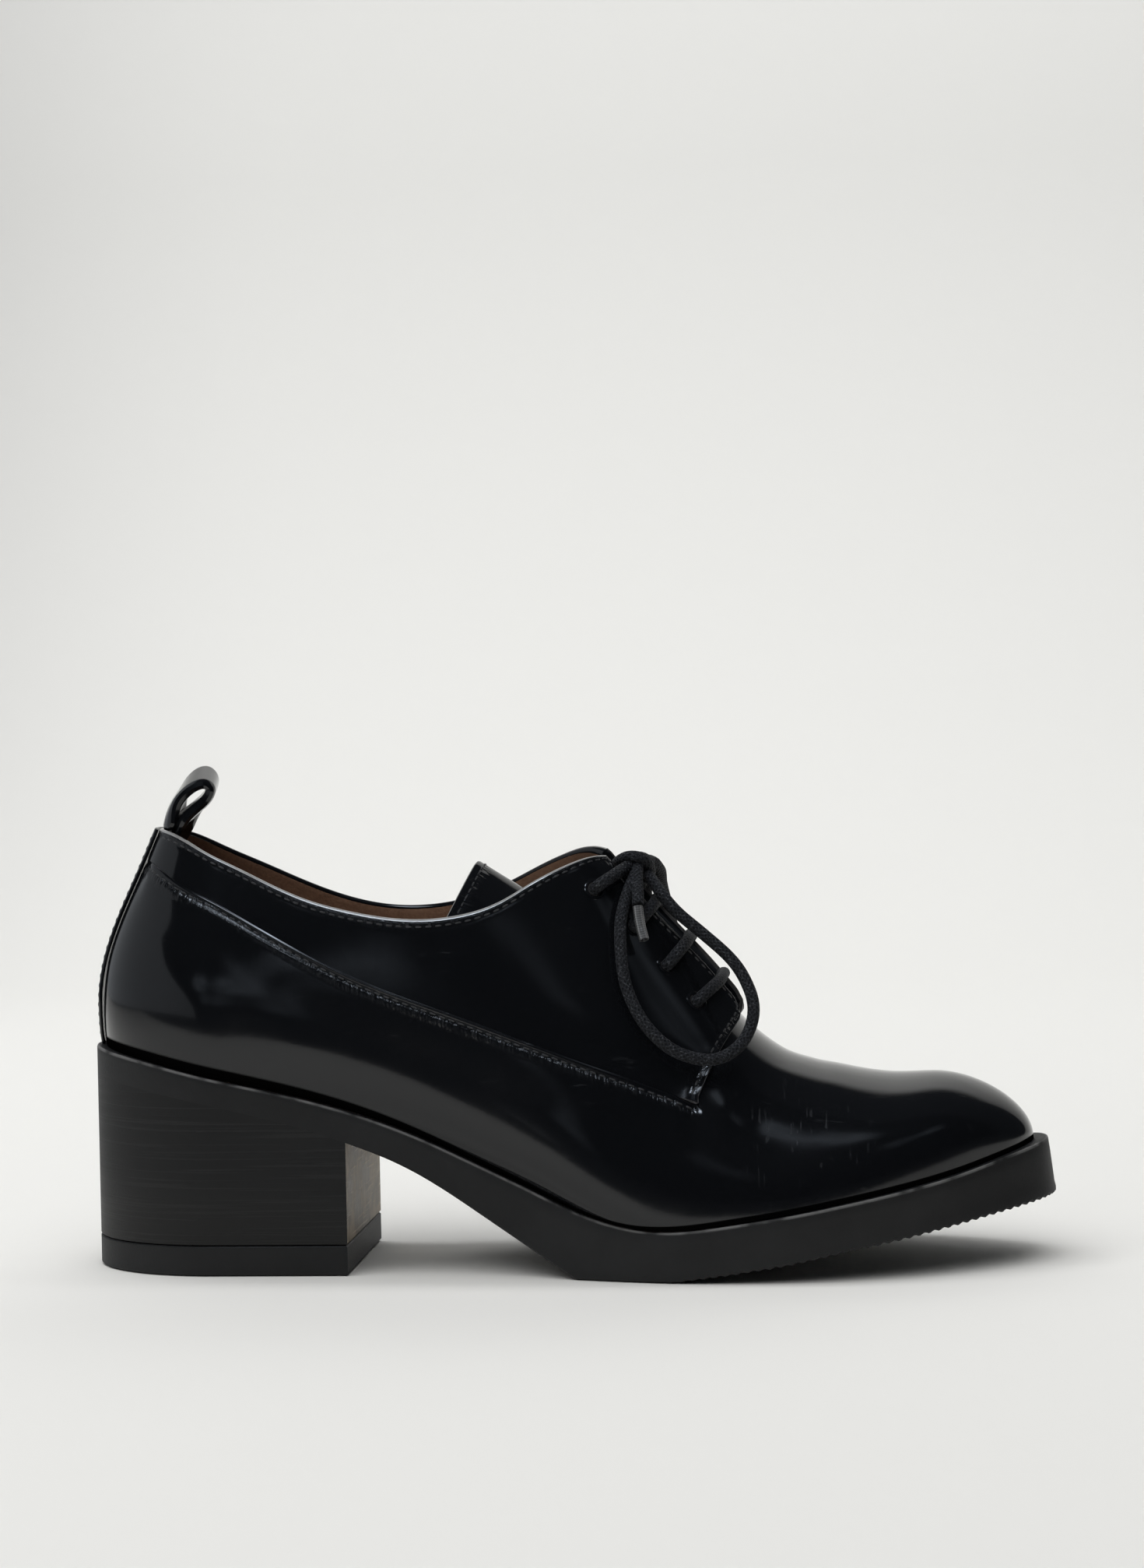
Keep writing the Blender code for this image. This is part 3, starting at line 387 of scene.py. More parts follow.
def heel_breast_painted_light():
    """The front face of the heel: smoother, scuffed and a little brown, its colour painted much lighter for
    the light that falls on it.
    """
    finish = Finish("heel_breast_painted_light", specular_ior_level=0.42, specular_tint=(1.0, 0.82, 0.60, 1.0))
    level = finish.noise(0.9, 2.0, stretch=(1.0, 0.06, 1.0)).step(0.56, 0.66)
    slant = finish.noise(0.9, 2.0, stretch=(1.0, 1.0, 0.10), shift=17.0).step(0.60, 0.68)
    cloud = finish.noise(8.0, 4.0, shift=3.0)
    shade = cloud.step(0.36, 0.64) * 0.5 + level * 0.4 + slant * 0.4
    # painted light: these tones are far lighter than the black heel, for the light on this face; the
    # scratches and brown are its own
    finish.tone(shade, (0.070, 0.051, 0.031), (0.52, 0.42, 0.30))
    finish.feed("Roughness", 0.34 + cloud * 0.25)
    finish.relief(level * 0.04 - slant * 0.04)
    return finish.material


RUBBER = sole_rubber()
STACK = heel_stack()
BREAST_PAINTED_LIGHT = heel_breast_painted_light()
print("sole and heel:", RUBBER.name, STACK.name, BREAST_PAINTED_LIGHT.name)

# %% [markdown]
# ## Lace and aglets
# The lace is a round braid: strands cross both ways round it, with a little loose fibre. Its ends are
# sleeved in clear film, and the braid shows grey through it. Both patterns run along the cord, so they
# follow the cord's own measures, which each tube carries, and not its place in space.

# %% Lace finishes
STRANDS = 8              # round the lace
STRAND_PITCH = 1.5
FILM_LINES = 5           # round the aglet
FILM_TICK = 0.62


def lace_cotton():
    """Round braided lace, waxed, with a little loose fibre."""
    finish = Finish("waxed_cotton_lace", specular_ior_level=0.22)
    along, around = finish.along_and_around()
    turn = around * (2 * math.pi * STRANDS)
    climb = along * (2 * math.pi / STRAND_PITCH)
    strand = (turn + climb).math("SINE").math("MAXIMUM", (turn - climb).math("SINE"))
    fuzz = finish.noise(0.52, 3.0)
    speck = strand.step(0.2, 1.0) * 0.2 + fuzz.step(0.52, 0.70) * 0.8
    finish.tone(speck, (0.0045, 0.0050, 0.0064), (0.058, 0.062, 0.070))
    finish.feed("Roughness", 0.58 + fuzz * 0.25)
    finish.relief(strand * 0.12 + fuzz * 0.16)
    return finish.material


def aglet_film():
    """A sleeve of clear film shrunk over the lace's end, so the lace shows grey through it."""
    finish = Finish("aglet_film", coat_weight=1.0, coat_roughness=0.10)
    along, around = finish.along_and_around()
    line = (around * (2 * math.pi * FILM_LINES)).math("SINE").step(0.35, 0.95)
    tick = (along * (2 * math.pi / FILM_TICK) + line * 1.5).math("SINE").step(-0.2, 0.8)
    dirt = finish.noise(1.2, 3.0)
    finish.tone(line * 0.5 + tick * 0.3 + dirt * 0.3, (0.018, 0.018, 0.019), (0.20, 0.205, 0.21))
    finish.feed("Roughness", 0.22 + dirt * 0.2)
    finish.relief(line * 0.05 + tick * 0.03)
    return finish.material


LACE = lace_cotton()
FILM = aglet_film()
print("finishes:", len(bpy.data.materials))

# %% [markdown]
# ## Making pieces from grids
# Panels, straps and soles are all sheets, so every mesh here starts as grids of points. A box model with a
# subdivision modifier would blur the cut edges; grids worked out by a function keep them where the knife
# would put them. Neighbouring grids share their border points and are welded there.

# %% Meshes from grids
WELD = 1e-6              # metres: border points closer than this are one
SMOOTH_ANGLE = math.radians(38.0)
FAR = 99.0               # the mark of a surface far from any edge
NO_MARKS = {"edge_away": FAR, "edge_along": FAR, "foot_away": FAR}


def dress(piece, nodes=()):
    """Let a piece ride on the shoe and stand for its solids, which are hidden."""
    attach(piece, "root")
    if nodes:
        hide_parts(*nodes)
    return piece


def add_object(name, data):
    """An object in the scene for a mesh or a light."""
    made = bpy.data.objects.new(name, data)
    bpy.context.scene.collection.objects.link(made)
    return made


def weld(data):
    """Join the border points of a mesh's grids and turn all faces outward."""
    shape = bmesh.new()
    shape.from_mesh(data)
    bmesh.ops.remove_doubles(shape, verts=shape.verts, dist=WELD)
    bmesh.ops.dissolve_degenerate(shape, edges=shape.edges, dist=WELD)
    bmesh.ops.recalc_face_normals(shape, faces=shape.faces)
    shape.to_mesh(data)
    shape.free()


def from_grids(name, grids, finishes):
    """One welded mesh from (points, finish number, marks) grids in millimetres."""
    points = []
    faces = []
    slots = []
    marks = {key: [] for key in NO_MARKS}
    start = 0
    for grid, slot, values in grids:
        rows, columns = grid.shape[:2]
        points.append(grid.reshape(-1, 3))
        for key, value in {**NO_MARKS, **(values or {})}.items():
            marks[key].append(np.broadcast_to(value, (rows, columns)).reshape(-1))
        i, j = np.meshgrid(np.arange(rows - 1), np.arange(columns - 1), indexing="ij")
        first = (start + i * columns + j).reshape(-1)
        faces.append(np.stack([first, first + 1, first + columns + 1, first + columns], axis=-1))
        slots.append(np.full(len(first), slot))
        start += rows * columns
    data = bpy.data.meshes.new(name)
    data.from_pydata(metres(np.concatenate(points)).tolist(), [], np.concatenate(faces).tolist())
    data.polygons.foreach_set("material_index", np.concatenate(slots).astype(np.int32))
    for key, values in marks.items():
        data.attributes.new(key, "FLOAT", "POINT").data.foreach_set("value", np.concatenate(values))
    for finish in finishes:
        data.materials.append(finish)
    weld(data)
    data.shade_smooth()
    data.set_sharp_from_angle(angle=SMOOTH_ANGLE)
    return add_object(name, data)


print("marks that a mesh carries:", *NO_MARKS)

# %% [markdown]
# ## Measuring lines and sheets
# A sheet gets its thickness along its normals and its rounded edge from a strip that turns over a
# half-ellipse. The same few measures, a length along a line, a point at a length and a unit direction,
# come back at every seam, so they are written once.

# %% Lines, normals and straps


def unit(vectors):
    """Vectors of length one in the same directions."""
    vectors = np.asarray(vectors, float)
    return vectors / np.maximum(np.linalg.norm(vectors, axis=-1, keepdims=True), 1e-9)


def length_along(points, axis=0):
    """Distance of each point from the first, along a line or along one axis of a grid."""
    steps = np.linalg.norm(np.diff(points, axis=axis), axis=-1)
    start = np.zeros_like(np.take(steps, [0], axis=axis))
    return np.concatenate([start, np.cumsum(steps, axis=axis)], axis=axis)


def point_at(length, lengths, points):
    """The point, or the direction, of a line at a length along it."""
    return np.array([np.interp(length, lengths, points[:, axis]) for axis in range(3)])


def grid_normals(grid):
    """Unit normals of a grid of points."""
    return unit(np.cross(np.gradient(grid, axis=0), np.gradient(grid, axis=1)))


def border(grid):
    """The points round a grid's border, in order, the first repeated at the end."""
    return np.concatenate([grid[:-1, 0], grid[-1, :-1], grid[:0:-1, -1], grid[0, ::-1]])


def rounded_rim(top, bottom, bulge, steps=5):
    """A strip that turns from one line to another round a half-ellipse."""
    middle = (top + bottom) / 2
    half = (top - bottom) / 2
    turn = np.linspace(0.0, math.pi, steps)[None, :, None]
    return middle[:, None] + half[:, None] * np.cos(turn) + bulge[:, None] * np.sin(turn)


def strap_grids(grid, thickness, front=0, back=0, marks=None):
    """A sheet with thickness and rounded edges, as grids: outside, inside and rim."""
    normal = grid_normals(grid)
    half = np.broadcast_to(thickness, grid.shape[:2])[..., None] / 2
    top = grid + normal * half
    bottom = grid - normal * half
    line = border(grid)[:-1]
    ahead = np.roll(line, -1, axis=0) - np.roll(line, 1, axis=0)
    out = unit(np.cross(ahead, border(normal)[:-1]))
    out *= np.sign(np.sum(out * (line - grid.mean(axis=(0, 1))), axis=1).mean())
    out = np.concatenate([out, out[:1]]) * border(half)
    rim = rounded_rim(border(top), border(bottom), out)
    return [(top, front, marks), (bottom, back, None), (rim, front, None)]


print("a strip of three points is", length_along(np.array(((0, 0, 0), (3, 4, 0), (3, 4, 1))))[-1], "long")

# %% [markdown]
# ## Curves through a maker's measures
# A last is known by a few measured cross-sections, and one cubic curve runs through each column of
# measures. Drawn over the root of the distance to the toe tip, it closes round the toe like a ship's bow.
# A bezier fitted by eye would do for one column, but would not keep all the columns in step.

# %% Curves


def cubic(knots, values, flat_start=False):
    """A cubic curve through the knots, with no bend at its ends, or level at its start."""
    knots = np.asarray(knots, float)
    order = np.argsort(knots)
    knots = knots[order]
    values = np.asarray(values, float)[order]
    count = len(knots)
    step = np.diff(knots)
    slope = np.diff(values) / step
    system = np.zeros((count, count))
    right = np.zeros(count)
    for i in range(1, count - 1):
        system[i, i - 1:i + 2] = step[i - 1], 2 * (step[i - 1] + step[i]), step[i]
        right[i] = 6 * (slope[i] - slope[i - 1])
    system[0, 0] = system[-1, -1] = 1.0
    if flat_start:
        system[0, :2] = 2 * step[0], step[0]
        right[0] = 6 * slope[0]
    bend = np.linalg.solve(system, right)

    def curve(at):
        at = np.asarray(at, float)
        i = np.clip(np.searchsorted(knots, at) - 1, 0, count - 2)
        left = (knots[i + 1] - at) / step[i]
        rest = (at - knots[i]) / step[i]
        sag = (left ** 3 - left) * bend[i] + (rest ** 3 - rest) * bend[i + 1]
        return left * values[i] + rest * values[i + 1] + sag * step[i] ** 2 / 6

    return curve


def bow_curve(xs, values, tip_x, sign, flat_start=False):
    """A curve over the root of the distance to the tip, even (sign 1) or odd (sign -1) about the tip."""
    root = np.sqrt(tip_x - np.asarray(xs, float))
    values = np.asarray(values, float)
    knots = np.concatenate([-root, root[::-1]])
    both = np.concatenate([values, sign * values[::-1]])
    if sign < 0:
        knots = np.concatenate([knots, [0.0]])
        both = np.concatenate([both, [0.0]])
    curve = cubic(knots, both, flat_start)
    return lambda x: curve(-np.sqrt(np.maximum(tip_x - np.asarray(x, float), 0.0)))


def ramp(value, start, end):
    """0 before start, 1 after end, smooth between."""
    part = np.clip((np.asarray(value, float) - start) / (end - start), 0.0, 1.0)
    return part * part * (3 - 2 * part)


def smooth_route(points, spacing):
    """Points on one smooth curve through a route's own points, about that far apart."""
    points = np.asarray(points, float)
    length = length_along(points)
    at = np.linspace(0.0, length[-1], max(4, int(length[-1] / spacing) + 1))
    return np.stack([cubic(length, points[:, axis])(at) for axis in range(3)], axis=-1)


print("a curve at its middle:", float(cubic((0, 1, 2), (0, 1, 0))(1.5)))

# %% [markdown]
# ## A round cord
# A lace could be a curve object with a round bevel. A tube of rings does the same and also gives each point
# its length along the cord and its turn round it, which the braid's pattern needs.

# %% Cord along a route
LACE_RADIUS = 1.6
LACE_SIDES = 14
START_AWAY = (0.31, 0.22, 0.92)          # a direction that no cord starts along
BORE = (0.84, 0.80)      # an aglet's hollow, at its mouth and at its floor, of its radius
BORE_LENGTHS = np.array((0.3, 0.6))


def rings_along(route, radius, ends):
    """Rings of points round a route that don't twist, and the directions ahead; ends scales the two ends."""
    ahead = unit(np.gradient(route, axis=0))
    side = np.zeros_like(route)
    side[0] = np.cross(ahead[0], START_AWAY)
    for i in range(1, len(route)):
        side[i] = side[i - 1] - ahead[i] * np.dot(side[i - 1], ahead[i])
    side = unit(side)
    other = np.cross(ahead, side)
    turn = np.linspace(0.0, 2 * math.pi, LACE_SIDES, endpoint=False)[None, :, None]
    width = np.full(len(route), radius)
    width[[0, -1]] *= ends
    around = side[:, None] * np.cos(turn) + other[:, None] * np.sin(turn)
    return route[:, None] + around * width[:, None, None], ahead


def tube(name, route, radius, finish, ends=1.0, hollow=0.0):
    """A round cord along a route; ends below 1 narrow its two ends, hollow opens the last one."""
    rings, ahead = rings_along(route, radius, ends)
    length = length_along(route)
    if hollow:
        rim = rings[-1] - route[-1]
        floor = route[-1] - ahead[-1] * hollow
        rings = np.concatenate([rings, [route[-1] + rim * BORE[0], floor + rim * BORE[1]]])
        length = np.append(length, length[-1] + BORE_LENGTHS)
    count = len(rings)
    faces = []
    measures = []
    for i in range(count - 1):
        here = i * LACE_SIDES
        ahead_of = here + LACE_SIDES
        for j in range(LACE_SIDES):
            beside = (j + 1) % LACE_SIDES
            faces.append((here + j, here + beside, ahead_of + beside, ahead_of + j))
            low = j / LACE_SIDES
            high = (j + 1) / LACE_SIDES
            measures += [length[i], low, length[i], high, length[i + 1], high, length[i + 1], low]
    for ring in (range(LACE_SIDES - 1, -1, -1), range((count - 1) * LACE_SIDES, count * LACE_SIDES)):
        faces.append(tuple(ring))
        measures += [0.0, 0.0] * LACE_SIDES
    data = bpy.data.meshes.new(name)
    data.from_pydata(metres(rings.reshape(-1, 3)).tolist(), [], faces)
    data.uv_layers.new(name="along_and_around").data.foreach_set("uv", measures)
    data.materials.append(finish)
    data.shade_smooth()
    data.set_sharp_from_angle(angle=SMOOTH_ANGLE)
    return add_object(name, data)


print("a lace of", 2 * LACE_RADIUS, "mm has", LACE_SIDES, "sides")

# %% [markdown]
# ## The lace's bow
# The lace is a round waxed cord. Its bow hangs from the knot: the photograph shows the outer loop and end
# whole, and the hidden inner ones are as long. Each loop runs back through the knot and comes out on the
# other side as an end, so loop and end are one length of cord. A simulated cord would fall by itself, but
# only a listed route falls as it did on that day.

# %% Bow
AGLET_RADIUS = 1.35
AGLET_HOLLOW = 1.1
CORD_SPACING = 1.4       # between the rings of a cord, of an aglet and of the tight turns in the knot
AGLET_SPACING = 1.2
TIGHT_SPACING = 0.7
KNOT_ENDS = 0.7          # the wraps narrow where they dive under the others
KNOT_ROUTE = (           # over the top from the left, down at the right, and once more round behind
    (140.5, 0.5, 103.4), (141.5, -3.5, 104.6), (142.9, -6.8, 105.7), (144.6, -9.2, 106.4),
    (146.3, -10.3, 106.6), (148.1, -10.0, 106.2), (149.5, -8.6, 105.2), (150.1, -6.4, 103.8),
    (150.1, -4.0, 102.2), (149.2, -1.8, 101.2), (147.0, -0.2, 100.9), (144.9, 0.4, 102.0),
    (144.0, 0.2, 104.0), (145.2, -0.8, 105.6), (147.4, -1.6, 106.0), (149.2, -1.6, 105.2),
    (150.0, -1.2, 103.6),
)
OUTER_LOOP_ROUTE = (
    (146.9, -9.5, 102.6), (146.8, -12.1, 101.85), (145.7, -16.7, 98.9), (144.4, -21.0, 94.5),
    (143.7, -24.2, 90.4), (143.7, -26.6, 85.7), (144.1, -28.8, 80.6), (145.0, -30.6, 75.5),
    (146.9, -32.4, 70.3), (149.8, -33.9, 65.3), (153.3, -34.8, 61.3), (157.5, -35.0, 58.1),
    (162.2, -34.7, 56.2), (166.8, -33.6, 55.5), (171.0, -31.4, 56.6), (174.2, -28.6, 58.9),
    (176.4, -25.6, 62.3), (177.4, -23.2, 66.2), (177.1, -21.2, 70.0), (175.8, -19.6, 73.5),
    (173.7, -18.2, 77.3), (170.8, -17.2, 80.8), (167.0, -16.6, 84.3), (162.3, -16.0, 88.3),
    (158.0, -15.4, 92.0), (154.6, -14.3, 95.8), (151.8, -11.4, 99.4), (149.99, -7.84, 101.49),
)
INNER_LOOP_ROUTE = (
    (146.9, 3.5, 102.6), (147.0, 6.2, 101.85), (147.6, 12.4, 101.4), (145.2, 19.8, 96.2),
    (142.6, 24.6, 88.6), (141.4, 28.0, 80.6), (141.2, 31.0, 72.8), (142.2, 33.8, 65.0),
    (144.6, 36.2, 57.6), (148.6, 37.8, 52.4), (153.2, 38.2, 51.6), (156.8, 37.4, 55.6),
    (158.0, 35.6, 62.0), (157.2, 33.2, 69.5), (155.8, 30.4, 77.0), (154.4, 27.2, 84.0),
    (153.2, 24.0, 90.0), (152.2, 19.8, 95.4), (151.9, 14.4, 99.4), (152.0, 9.6, 101.8),
    (151.4, 6.0, 103.4), (150.6, 3.2, 104.5), (149.7, 1.38, 105.0),
)
OUTER_END_ROUTE = (
    (147.1, -7.6, 104.9), (147.2, -9.6, 104.0), (147.4, -13.4, 101.8), (147.7, -17.4, 98.8),
    (148.0, -20.4, 96.4), (148.1, -22.4, 94.4),
)
INNER_END_ROUTE = (
    (147.4, 2.76, 104.9), (147.5, 5.2, 105.3), (147.6, 8.8, 105.2), (147.4, 13.4, 104.2),
    (147.0, 18.8, 101.6), (147.0, 23.4, 97.2), (147.2, 26.2, 92.6),
)
OUTER_AGLET_ROUTE = ((148.08, -22.55, 94.1), (148.6, -24.0, 90.2), (149.8, -25.8, 85.7))
INNER_AGLET_ROUTE = ((147.23, 26.4, 92.3), (147.8, 28.2, 88.2), (148.6, 29.8, 83.6))
OUTER_LOOP_CROSSING = ((148.9, -4.4, 102.4), (148.0, -0.8, 104.0))   # through the knot to the inner end
INNER_LOOP_CROSSING = ((149.4, -1.2, 105.0), (147.8, -4.6, 105.0))   # through the knot to the outer end


def lace_cord(name, loop, crossing, end, nodes):
    """A loop and the end that it runs on into, as one cord."""
    route = smooth_route([*loop, *crossing, *end], CORD_SPACING)
    piece = dress(tube(name, route, LACE_RADIUS, LACE), nodes)
    whole = float(length_along(route)[-1])
    return whole


def make_aglet(name, route):
    """The film sleeve on an end of the lace."""
    line = smooth_route(route, AGLET_SPACING)
    sleeve = tube(name + "_sleeve", line, AGLET_RADIUS, FILM, hollow=AGLET_HOLLOW)
    return dress(sleeve, [name])


def make_knot():
    """The lace wound over the roots of the bow."""
    route = smooth_route(KNOT_ROUTE, TIGHT_SPACING)
    wraps = tube("lace_knot_wraps", route, LACE_RADIUS, LACE, ends=KNOT_ENDS)
    return dress(wraps, ["lace_knot"])


outer_aglet = make_aglet("aglet_outer", OUTER_AGLET_ROUTE)
inner_aglet = make_aglet("aglet_inner", INNER_AGLET_ROUTE)
outer_length = lace_cord("lace_outer_loop_and_inner_end", OUTER_LOOP_ROUTE, OUTER_LOOP_CROSSING,
                         INNER_END_ROUTE, ["lace_loop_outer", "lace_end_inner"])
inner_length = lace_cord("lace_inner_loop_and_outer_end", INNER_LOOP_ROUTE, INNER_LOOP_CROSSING,
                         OUTER_END_ROUTE, ["lace_loop_inner", "lace_end_outer"])
make_knot()
print("lace past the knot: %.0f mm and %.0f mm" % (outer_length, inner_length))

# %% [markdown]
# ## Measures of the sole
# A sole is drawn as two half widths and two heights along its length. The plan closes round the toe as a
# bow curve and round the heel as a circle. The solids were built from the same table, so the dressed sole
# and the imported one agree.

# %% Measures of the sole
GAP = 0.3                # between pieces that lie on each other
SOLE_TIP_X = 253.4
HEEL_CENTRE_X = 36.0
HEEL_BREAST_X = 71.4
SOLE_ROWS = np.array((   # x, outer and inner half width, top and bottom height
    (0.0, 0.0, 0.0, 58.6, 51.4), (17.5, 24.5, 24.5, 55.5, 48.2), (36.0, 28.6, 28.6, 51.2, 44.2),
    (55.0, 28.6, 28.2, 47.0, 39.6), (72.0, 28.6, 27.2, 42.4, 34.2), (90.0, 28.8, 25.8, 35.8, 26.2),
    (107.0, 30.2, 25.8, 28.1, 15.4), (119.0, 32.6, 27.2, 22.7, 7.6), (131.0, 35.8, 29.8, 17.4, 0.0),
    (145.0, 39.4, 33.8, 13.5, 0.0), (157.0, 41.8, 37.0, 12.9, 0.0), (170.0, 43.0, 39.2, 14.4, 1.8),
    (185.0, 43.0, 39.8, 16.7, 4.2), (200.0, 40.6, 38.4, 19.3, 7.2), (215.0, 35.6, 34.8, 22.0, 9.7),
    (230.0, 27.0, 28.8, 25.1, 12.5), (240.0, 19.2, 22.6, 27.7, 14.3), (247.5, 12.0, 16.4, 29.6, 15.5),
    (252.0, 4.6, 10.0, 30.6, 16.2),
))
SOLE_SIDE = SOLE_ROWS[SOLE_ROWS[:, 0] >= HEEL_CENTRE_X]

sole_top = cubic(SOLE_ROWS[:, 0], SOLE_ROWS[:, 3])
sole_half = bow_curve(SOLE_SIDE[:, 0], (SOLE_SIDE[:, 1] + SOLE_SIDE[:, 2]) / 2, SOLE_TIP_X, -1, True)
sole_axis = bow_curve(SOLE_SIDE[:, 0], (SOLE_SIDE[:, 2] - SOLE_SIDE[:, 1]) / 2, SOLE_TIP_X, 1, True)
print("the sole is %.1f mm wide at the ball" % (2 * sole_half(172.0)))

# %% [markdown]
# ## Measures of the last
# The upper's form is the last's: a table of cross-sections, each from the feather edge, where the wall
# turns under, over the bulge to the ridge. The pinch draws a section in between bulge and ridge. The edges
# of the panels are lines seen from the side, as a pattern cutter would draw them on the last.

# %% Measures of the last
WALL = 1.9
TUCK = math.radians(60.0)                # how far the wall turns under at the feather edge
UPPER_TIP_X = 249.6
BACK_FEATHER_REACH = 33.3                # the back of the heel, from the heel's centre
BACK_BULGE_REACH = 34.0
BACK_BULGE_Z = 69.0
BACK_RIDGE_Z = 132.0
BACK_PINCH = 0.217
UPPER_COLUMNS = ("x", "axis", "outer_feather", "inner_feather", "bulge_z", "outer_bulge", "inner_bulge",
                 "ridge_z", "pinch")
UPPER_ROWS = np.array((
    (36.0, 0.0, 27.2, 27.2, 65.0, 28.4, 28.4, 124.0, 0.185),
    (50.0, 0.0, 27.2, 26.8, 61.5, 29.2, 28.9, 126.0, 0.140),
    (70.0, 0.0, 27.0, 25.6, 55.0, 30.2, 29.2, 130.0, 0.080),
    (90.0, 0.0, 27.0, 24.0, 47.0, 31.8, 29.8, 134.0, 0.060),
    (110.0, 0.0, 28.8, 24.2, 36.5, 34.6, 31.6, 130.0, 0.080),
    (125.0, 0.0, 32.0, 26.8, 28.0, 37.6, 34.2, 121.0, 0.120),
    (138.0, 0.0, 36.9, 31.4, 20.4, 40.2, 36.6, 109.0, 0.150),
    (150.0, 0.0, 40.6, 36.0, 15.4, 41.6, 38.6, 93.5, 0.150),
    (160.0, 0.0, 41.9, 38.2, 14.4, 42.2, 39.4, 80.5, 0.140),
    (172.0, 0.0, 42.3, 39.0, 15.8, 42.3, 39.6, 65.0, 0.100),
    (184.0, 0.0, 41.7, 38.7, 17.6, 41.6, 38.8, 55.0, 0.060),
    (198.0, 0.2, 39.3, 37.0, 20.0, 39.2, 37.0, 50.6, 0.020),
    (212.0, 0.6, 35.0, 33.4, 22.9, 34.9, 33.3, 48.0, -0.030),
    (225.0, 1.1, 28.6, 27.7, 25.7, 28.5, 27.6, 48.0, -0.060),
    (236.0, 1.6, 21.0, 20.7, 28.2, 20.9, 20.6, 45.3, -0.080),
    (244.0, 2.1, 13.9, 13.7, 30.0, 13.8, 13.6, 40.3, -0.060),
))
COLLAR_ROWS = np.array((   # x, height of the outer and of the inner edge
    (17.4, 115.6, 115.6), (23.5, 114.2, 114.2), (32.3, 109.8, 110.1), (42.2, 105.1, 105.4),
    (51.8, 100.6, 100.7), (61.3, 96.7, 96.6), (70.8, 94.0, 93.7), (79.8, 92.2, 92.4), (88.0, 91.3, 92.5),
    (96.0, 91.4, 93.7), (102.0, 92.2, 95.4), (108.0, 93.7, 97.7), (114.0, 96.3, 100.6), (120.0, 99.8, 103.6),
    (126.0, 102.9, 106.2), (131.6, 105.2, 107.9), (136.5, 106.3, 107.7), (140.5, 105.6, 106.0),
    (144.5, 103.0, 103.0), (149.0, 98.8, 98.8), (176.0, 70.0, 70.0),
))
THROAT_ROWS = np.array((   # x, half the gap between the facings
    (110.0, 4.0), (136.0, 7.5), (143.0, 10.4), (152.0, 10.8), (162.0, 9.4), (176.0, 8.0),
))
SEAM_ROWS = np.array((     # x and height of the seam above the lower panel
    (8.0, 111.0), (19.3, 106.2), (26.9, 101.6), (35.8, 97.1), (44.7, 92.4), (55.0, 86.9), (68.8, 79.8),
    (80.6, 74.7), (96.7, 68.9), (114.4, 62.4), (126.1, 58.1), (137.7, 53.8), (149.2, 49.6), (157.8, 46.2),
    (163.0, 44.2),
))

UPPER = {name: UPPER_ROWS[:, i] for i, name in enumerate(UPPER_COLUMNS)}
LEVEL_X = np.concatenate([[HEEL_CENTRE_X - BACK_BULGE_REACH], UPPER["x"]])


def level_curve(name, back):
    """A height column of the last, as height over the sole."""
    heights = np.concatenate([[back], UPPER[name]]) - sole_top(LEVEL_X)
    return bow_curve(LEVEL_X, heights, UPPER_TIP_X, -1)


upper_axis = bow_curve(UPPER["x"], UPPER["axis"], UPPER_TIP_X, 1, True)
bulge_height = level_curve("bulge_z", BACK_BULGE_Z)
ridge_height = level_curve("ridge_z", BACK_RIDGE_Z)
upper_pinch = bow_curve(LEVEL_X, np.concatenate([[BACK_PINCH], UPPER["pinch"]]), UPPER_TIP_X, 1)
half_width = {(side, level): bow_curve(UPPER["x"], UPPER[word + "_" + level], UPPER_TIP_X, -1, True)
              for side, word in SIDES for level in ("feather", "bulge")}
outer_collar_z = cubic(COLLAR_ROWS[:, 0], COLLAR_ROWS[:, 1])
inner_collar_z = cubic(COLLAR_ROWS[:, 0], COLLAR_ROWS[:, 2])
throat_gap = cubic(THROAT_ROWS[:, 0], THROAT_ROWS[:, 1])
seam_z = cubic(SEAM_ROWS[:, 0], SEAM_ROWS[:, 1])
print("ball of the last: %.1f mm wide" % sum(half_width[side, "bulge"](172.0) for side, _ in SIDES))

# %% [markdown]
# ## The form of the last
# A point of the last is named by its station along the shoe and its turn up the section. Round the heel the
# stations turn like spokes, and ahead of it they run to the toe tip. Rows of points could be lofted into a
# surface, but a formula gives every point and its outward direction exactly.

# %% The form of the last
CORNER_X = 163.0         # lower front corner of the quarter
FRONT_LEAN = 10.0        # how far the quarter's front edge leans to the toe
LEAN_FROM_X = 112.0
LEAN_TO_X = 240.0
CORNER_TURN = math.radians(30.0)
THROAT_TURN = math.radians(82.0)
NUDGE = 1e-4             # for directions found from two near points
TIP_MARGIN = 1e-3


def station_x(u, t=0.0):
    """Length along the shoe at station u, 0..1 round the heel and 1..2 to the toe; sections lean to the
    toe with the turn t near the quarter's front edge, so that one section follows that edge."""
    x = UPPER_TIP_X - (UPPER_TIP_X - HEEL_CENTRE_X) * (2 - np.maximum(u, 1.0)) ** 2
    rise = (np.sin(t) - math.sin(CORNER_TURN)) / (math.sin(THROAT_TURN) - math.sin(CORNER_TURN))
    near = ramp(x, LEAN_FROM_X, CORNER_X) * (1 - ramp(x, CORNER_X, LEAN_TO_X))
    return x + FRONT_LEAN * near * np.maximum(rise, 0.0)


def station_u(x):
    """Station of an upright section in front of the heel's centre."""
    return 2 - np.sqrt((UPPER_TIP_X - np.asarray(x, float)) / (UPPER_TIP_X - HEEL_CENTRE_X))


def reach(t, feather, bulge, mean, pinch):
    """Distance from the last's axis at turn t."""
    sine = np.sin(np.maximum(t, 0.0))
    cosine = np.cos(np.maximum(t, 0.0))
    over = (mean + (bulge - mean) * cosine ** 2) * cosine * (1 - 4 * pinch * sine ** 2 * cosine ** 2)
    return over - (bulge - feather) * (1 - np.cos(np.minimum(t, 0.0))) / (1 - math.cos(TUCK))


